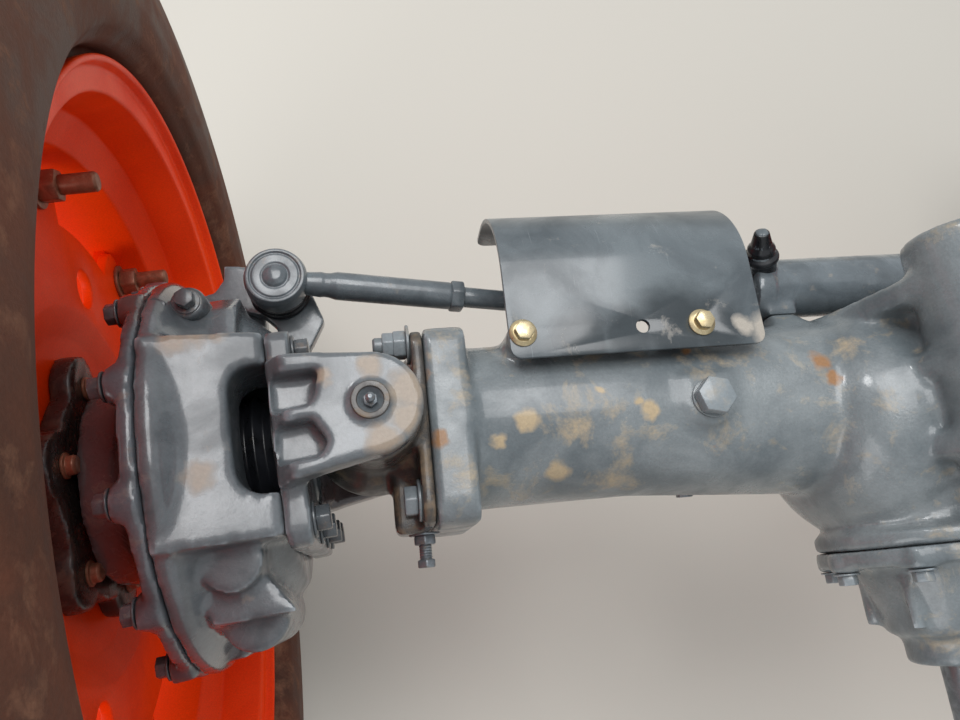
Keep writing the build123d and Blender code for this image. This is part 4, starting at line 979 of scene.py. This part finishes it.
# %% Tie rods
PIPE_END = 150
LOCKNUT, BALL_NUT = (25, 12), (19, 9)
cup = ((0, 1), (22, 1), (26.2, 5), (26.2, 19), (24.2, 24.4), (21.6, 24.6), (20.8, 23.2),
       (19.6, 23.2), (18.8, 24.2), (12.4, 24.0), (10.6, 23.0), (9.2, 25.0), (5.5, 27.6), (0, 28.6))
pipe = ((0, 17), (9.4, 17), (10.3, 30), (11.0, 37), (10.4, 40), (10.6, 44), (12.2, 50),
        (12.2, 149), (11.4, 151), (0, 151))
bar = ((0, 150), (9.2, 150), (9.2, 243), (7.0, 248), (7.0, 283), (0, 283))
eye = ((0, EYE_Z - 7), (11, EYE_Z - 7), (11, EYE_Z + 7), (0, EYE_Z + 7))
ball_stud = ((0, -40), (8, -40), (8, 2), (0, 2))
for hand in HANDS:
    along = ball_place(hand) @ facing((0, 0, TIE_Z), slope)
    rods = bmesh.new()
    join(rods, turned(cup, steps=64, ease=0.7), ball_place(hand))
    join(rods, turned(pipe, steps=48, ease=0.8), along)
    join(rods, hexagon(*LOCKNUT), along @ Matrix.Translation((0, 0, PIPE_END)))
    join(rods, turned(bar, steps=36, ease=0.6), along)
    join(rods, turned(eye, steps=36, ease=1.2),
         ball_place(hand) @ Matrix.Translation((TIE_LENGTH, 0, 0)))
    join(rods, turned(ball_stud, steps=24, ease=0.8), ball_place(hand))
    join(rods, hexagon(*BALL_NUT), ball_place(hand) @ Matrix.Translation((0, 0, -38)))
    finish(f"tie_rod_steel_{hand}", rods, f"tie_rod_{hand}", rod_paint,
           replaces=(f"tie_rod_{hand}",))

# %% Boots under the ball joints
boot = ((8.3, 0.8), (21, 0.6), (21.5, -1.2), (20.5, -2.6), (24.5, -4.2), (25.4, -6.0),
        (23.0, -7.8), (25.8, -9.4), (26.6, -11.2), (24.6, -13.6), (8.3, -13.6))
for hand in HANDS:
    folds = bmesh.new()
    join(folds, turned(boot, steps=56, ease=0.9, closed=True), ball_place(hand))
    finish(f"ball_boot_rubber_{hand}", folds, f"tie_rod_{hand}", rubber,
           replaces=(f"ball_boot_{hand}",))

# %% [markdown]
# ## The drive joint's bellows
#
# Through the window in the top of the case shows the rubber bellows over the drive joint. It is one
# wavy line, spun round the shaft.

# %% Bellows
FOLD_R, FOLD_DEPTH, FOLD_PITCH = 40, 7, 7
FOLD_START = -124
bellows = [(0, -137), (26, -138), (30, -132)]
bellows += [(FOLD_R + FOLD_DEPTH * (step % 2), FOLD_START + FOLD_PITCH * step) for step in range(9)]
bellows += [(38, -57), (30, -56), (0, -56)]
for hand in HANDS:
    joint = bmesh.new()
    join(joint, turned(bellows, steps=72, ease=1.6),
         side_place(hand) @ Matrix.Rotation(math.pi / 2, 4, "Y"))
    finish(f"drive_joint_bellows_{hand}", joint, f"knuckle_{hand}", rubber,
           replaces=(f"drive_joint_{hand}",))

# %% [markdown]
# ## Fittings on the beam and the guard
#
# Yellow flange bolts hold the guard. The steering cylinder's hose ports wear black rubber caps. The
# oil filler is a large hexagon plug on its pad, a small bolt sits low on the tube's rear side, the
# drain plug under the middle, and eight bolts hold the pinion housing. All are hexagons and turned
# rings again. Some stand at odd angles, because a real head stops where it gets tight.

# %% Guard bolts and port caps
GUARD_TOP = 76.0
GUARD_BOLTS = ((119, 56), (265, 56))  # x, y
GUARD_BOLT, GUARD_BOLT_TURN = (14, 6.5), 0.4
PORT_X = 367.0
PORT_LEAN = (-0.3, 0.47, 0.83)
bolt_flange = ((0, 0), (11, 0), (11, 1.4), (8.0, 3.2), (0, 3.2))
cap = ((0, 20), (13.4, 20), (13.4, 37), (15.2, 39), (15.2, 43), (11.4, 46), (12.2, 51), (9.4, 55),
       (6.4, 68), (0, 70))
for hand in HANDS:
    on_beam = side_place(hand, steered=False)
    gold = bmesh.new()
    for x, y in GUARD_BOLTS:
        seat = on_beam @ Matrix.Translation((x, y, GUARD_TOP))
        join(gold, turned(bolt_flange, steps=48, ease=0.4), seat)
        join(gold, hexagon(*GUARD_BOLT),
             seat @ Matrix.Translation((0, 0, 2.6)) @ Matrix.Rotation(GUARD_BOLT_TURN, 4, "Z"))
    finish(f"guard_bolts_{hand}", gold, "axle", zinc_yellow)
    caps = bmesh.new()
    join(caps, turned(cap, steps=40, ease=1.0),
         on_beam @ facing((PORT_X, CYLINDER_Y, 0), PORT_LEAN))
    finish(f"port_cap_{hand}", caps, "axle", rubber)

# %% Plug, drain and pinion bolts
FILLER_SEAT, REAR_SEAT = (263, -5, 70.3), (266, -62, -22)
FILLER, FILLER_TURN = (27, 12), 0.3
REAR_BOLT, DRAIN_PLUG, PINION_BOLT = (13, 8), (24, 9), (14, 8)
DRAIN_Y, DRAIN_Z = -25, -107
PINION_FACE_Y, PINION_BOLT_R, PINION_BOLTS = -149, 84, 8
filler_ring = ((0, 0), (15.5, 0), (15.5, 2.2), (0, 2.2))


def mid_place(y, z, angle):
    """A place on the middle of the beam, in mm, with Z turned about X by the angle in radians."""
    return (Matrix.Translation((0, y * MM, (z - PIVOT_RISE) * MM)) @ Matrix.Rotation(angle, 4, "X")
            @ Matrix.Scale(MM, 4))


plug = bmesh.new()
on_beam = side_place("left", steered=False)
seat = on_beam @ Matrix.Translation(FILLER_SEAT)
join(plug, turned(filler_ring, steps=40, ease=0.6), seat)
join(plug, hexagon(*FILLER, ease=0.05),
     seat @ Matrix.Translation((0, 0, 2)) @ Matrix.Rotation(FILLER_TURN, 4, "Z"))
finish("filler_plug", plug, "axle", beam_paint)
small = bmesh.new()
bolt(small, on_beam @ facing(REAR_SEAT, (0, -1, -0.1)), *REAR_BOLT)
bolt(small, mid_place(DRAIN_Y, DRAIN_Z, math.pi), *DRAIN_PLUG)
finish("drain_and_breather_bolts", small, "axle", bolt_steel)
pinion_bolts = bmesh.new()
seat = mid_place(PINION_FACE_Y, 0, math.pi / 2)
for count in range(PINION_BOLTS):
    angle = 360 / PINION_BOLTS * count
    bolt(pinion_bolts, seat @ on_circle(PINION_BOLT_R, angle), *PINION_BOLT)
finish("pinion_bolts", pinion_bolts, "axle", beam_paint)
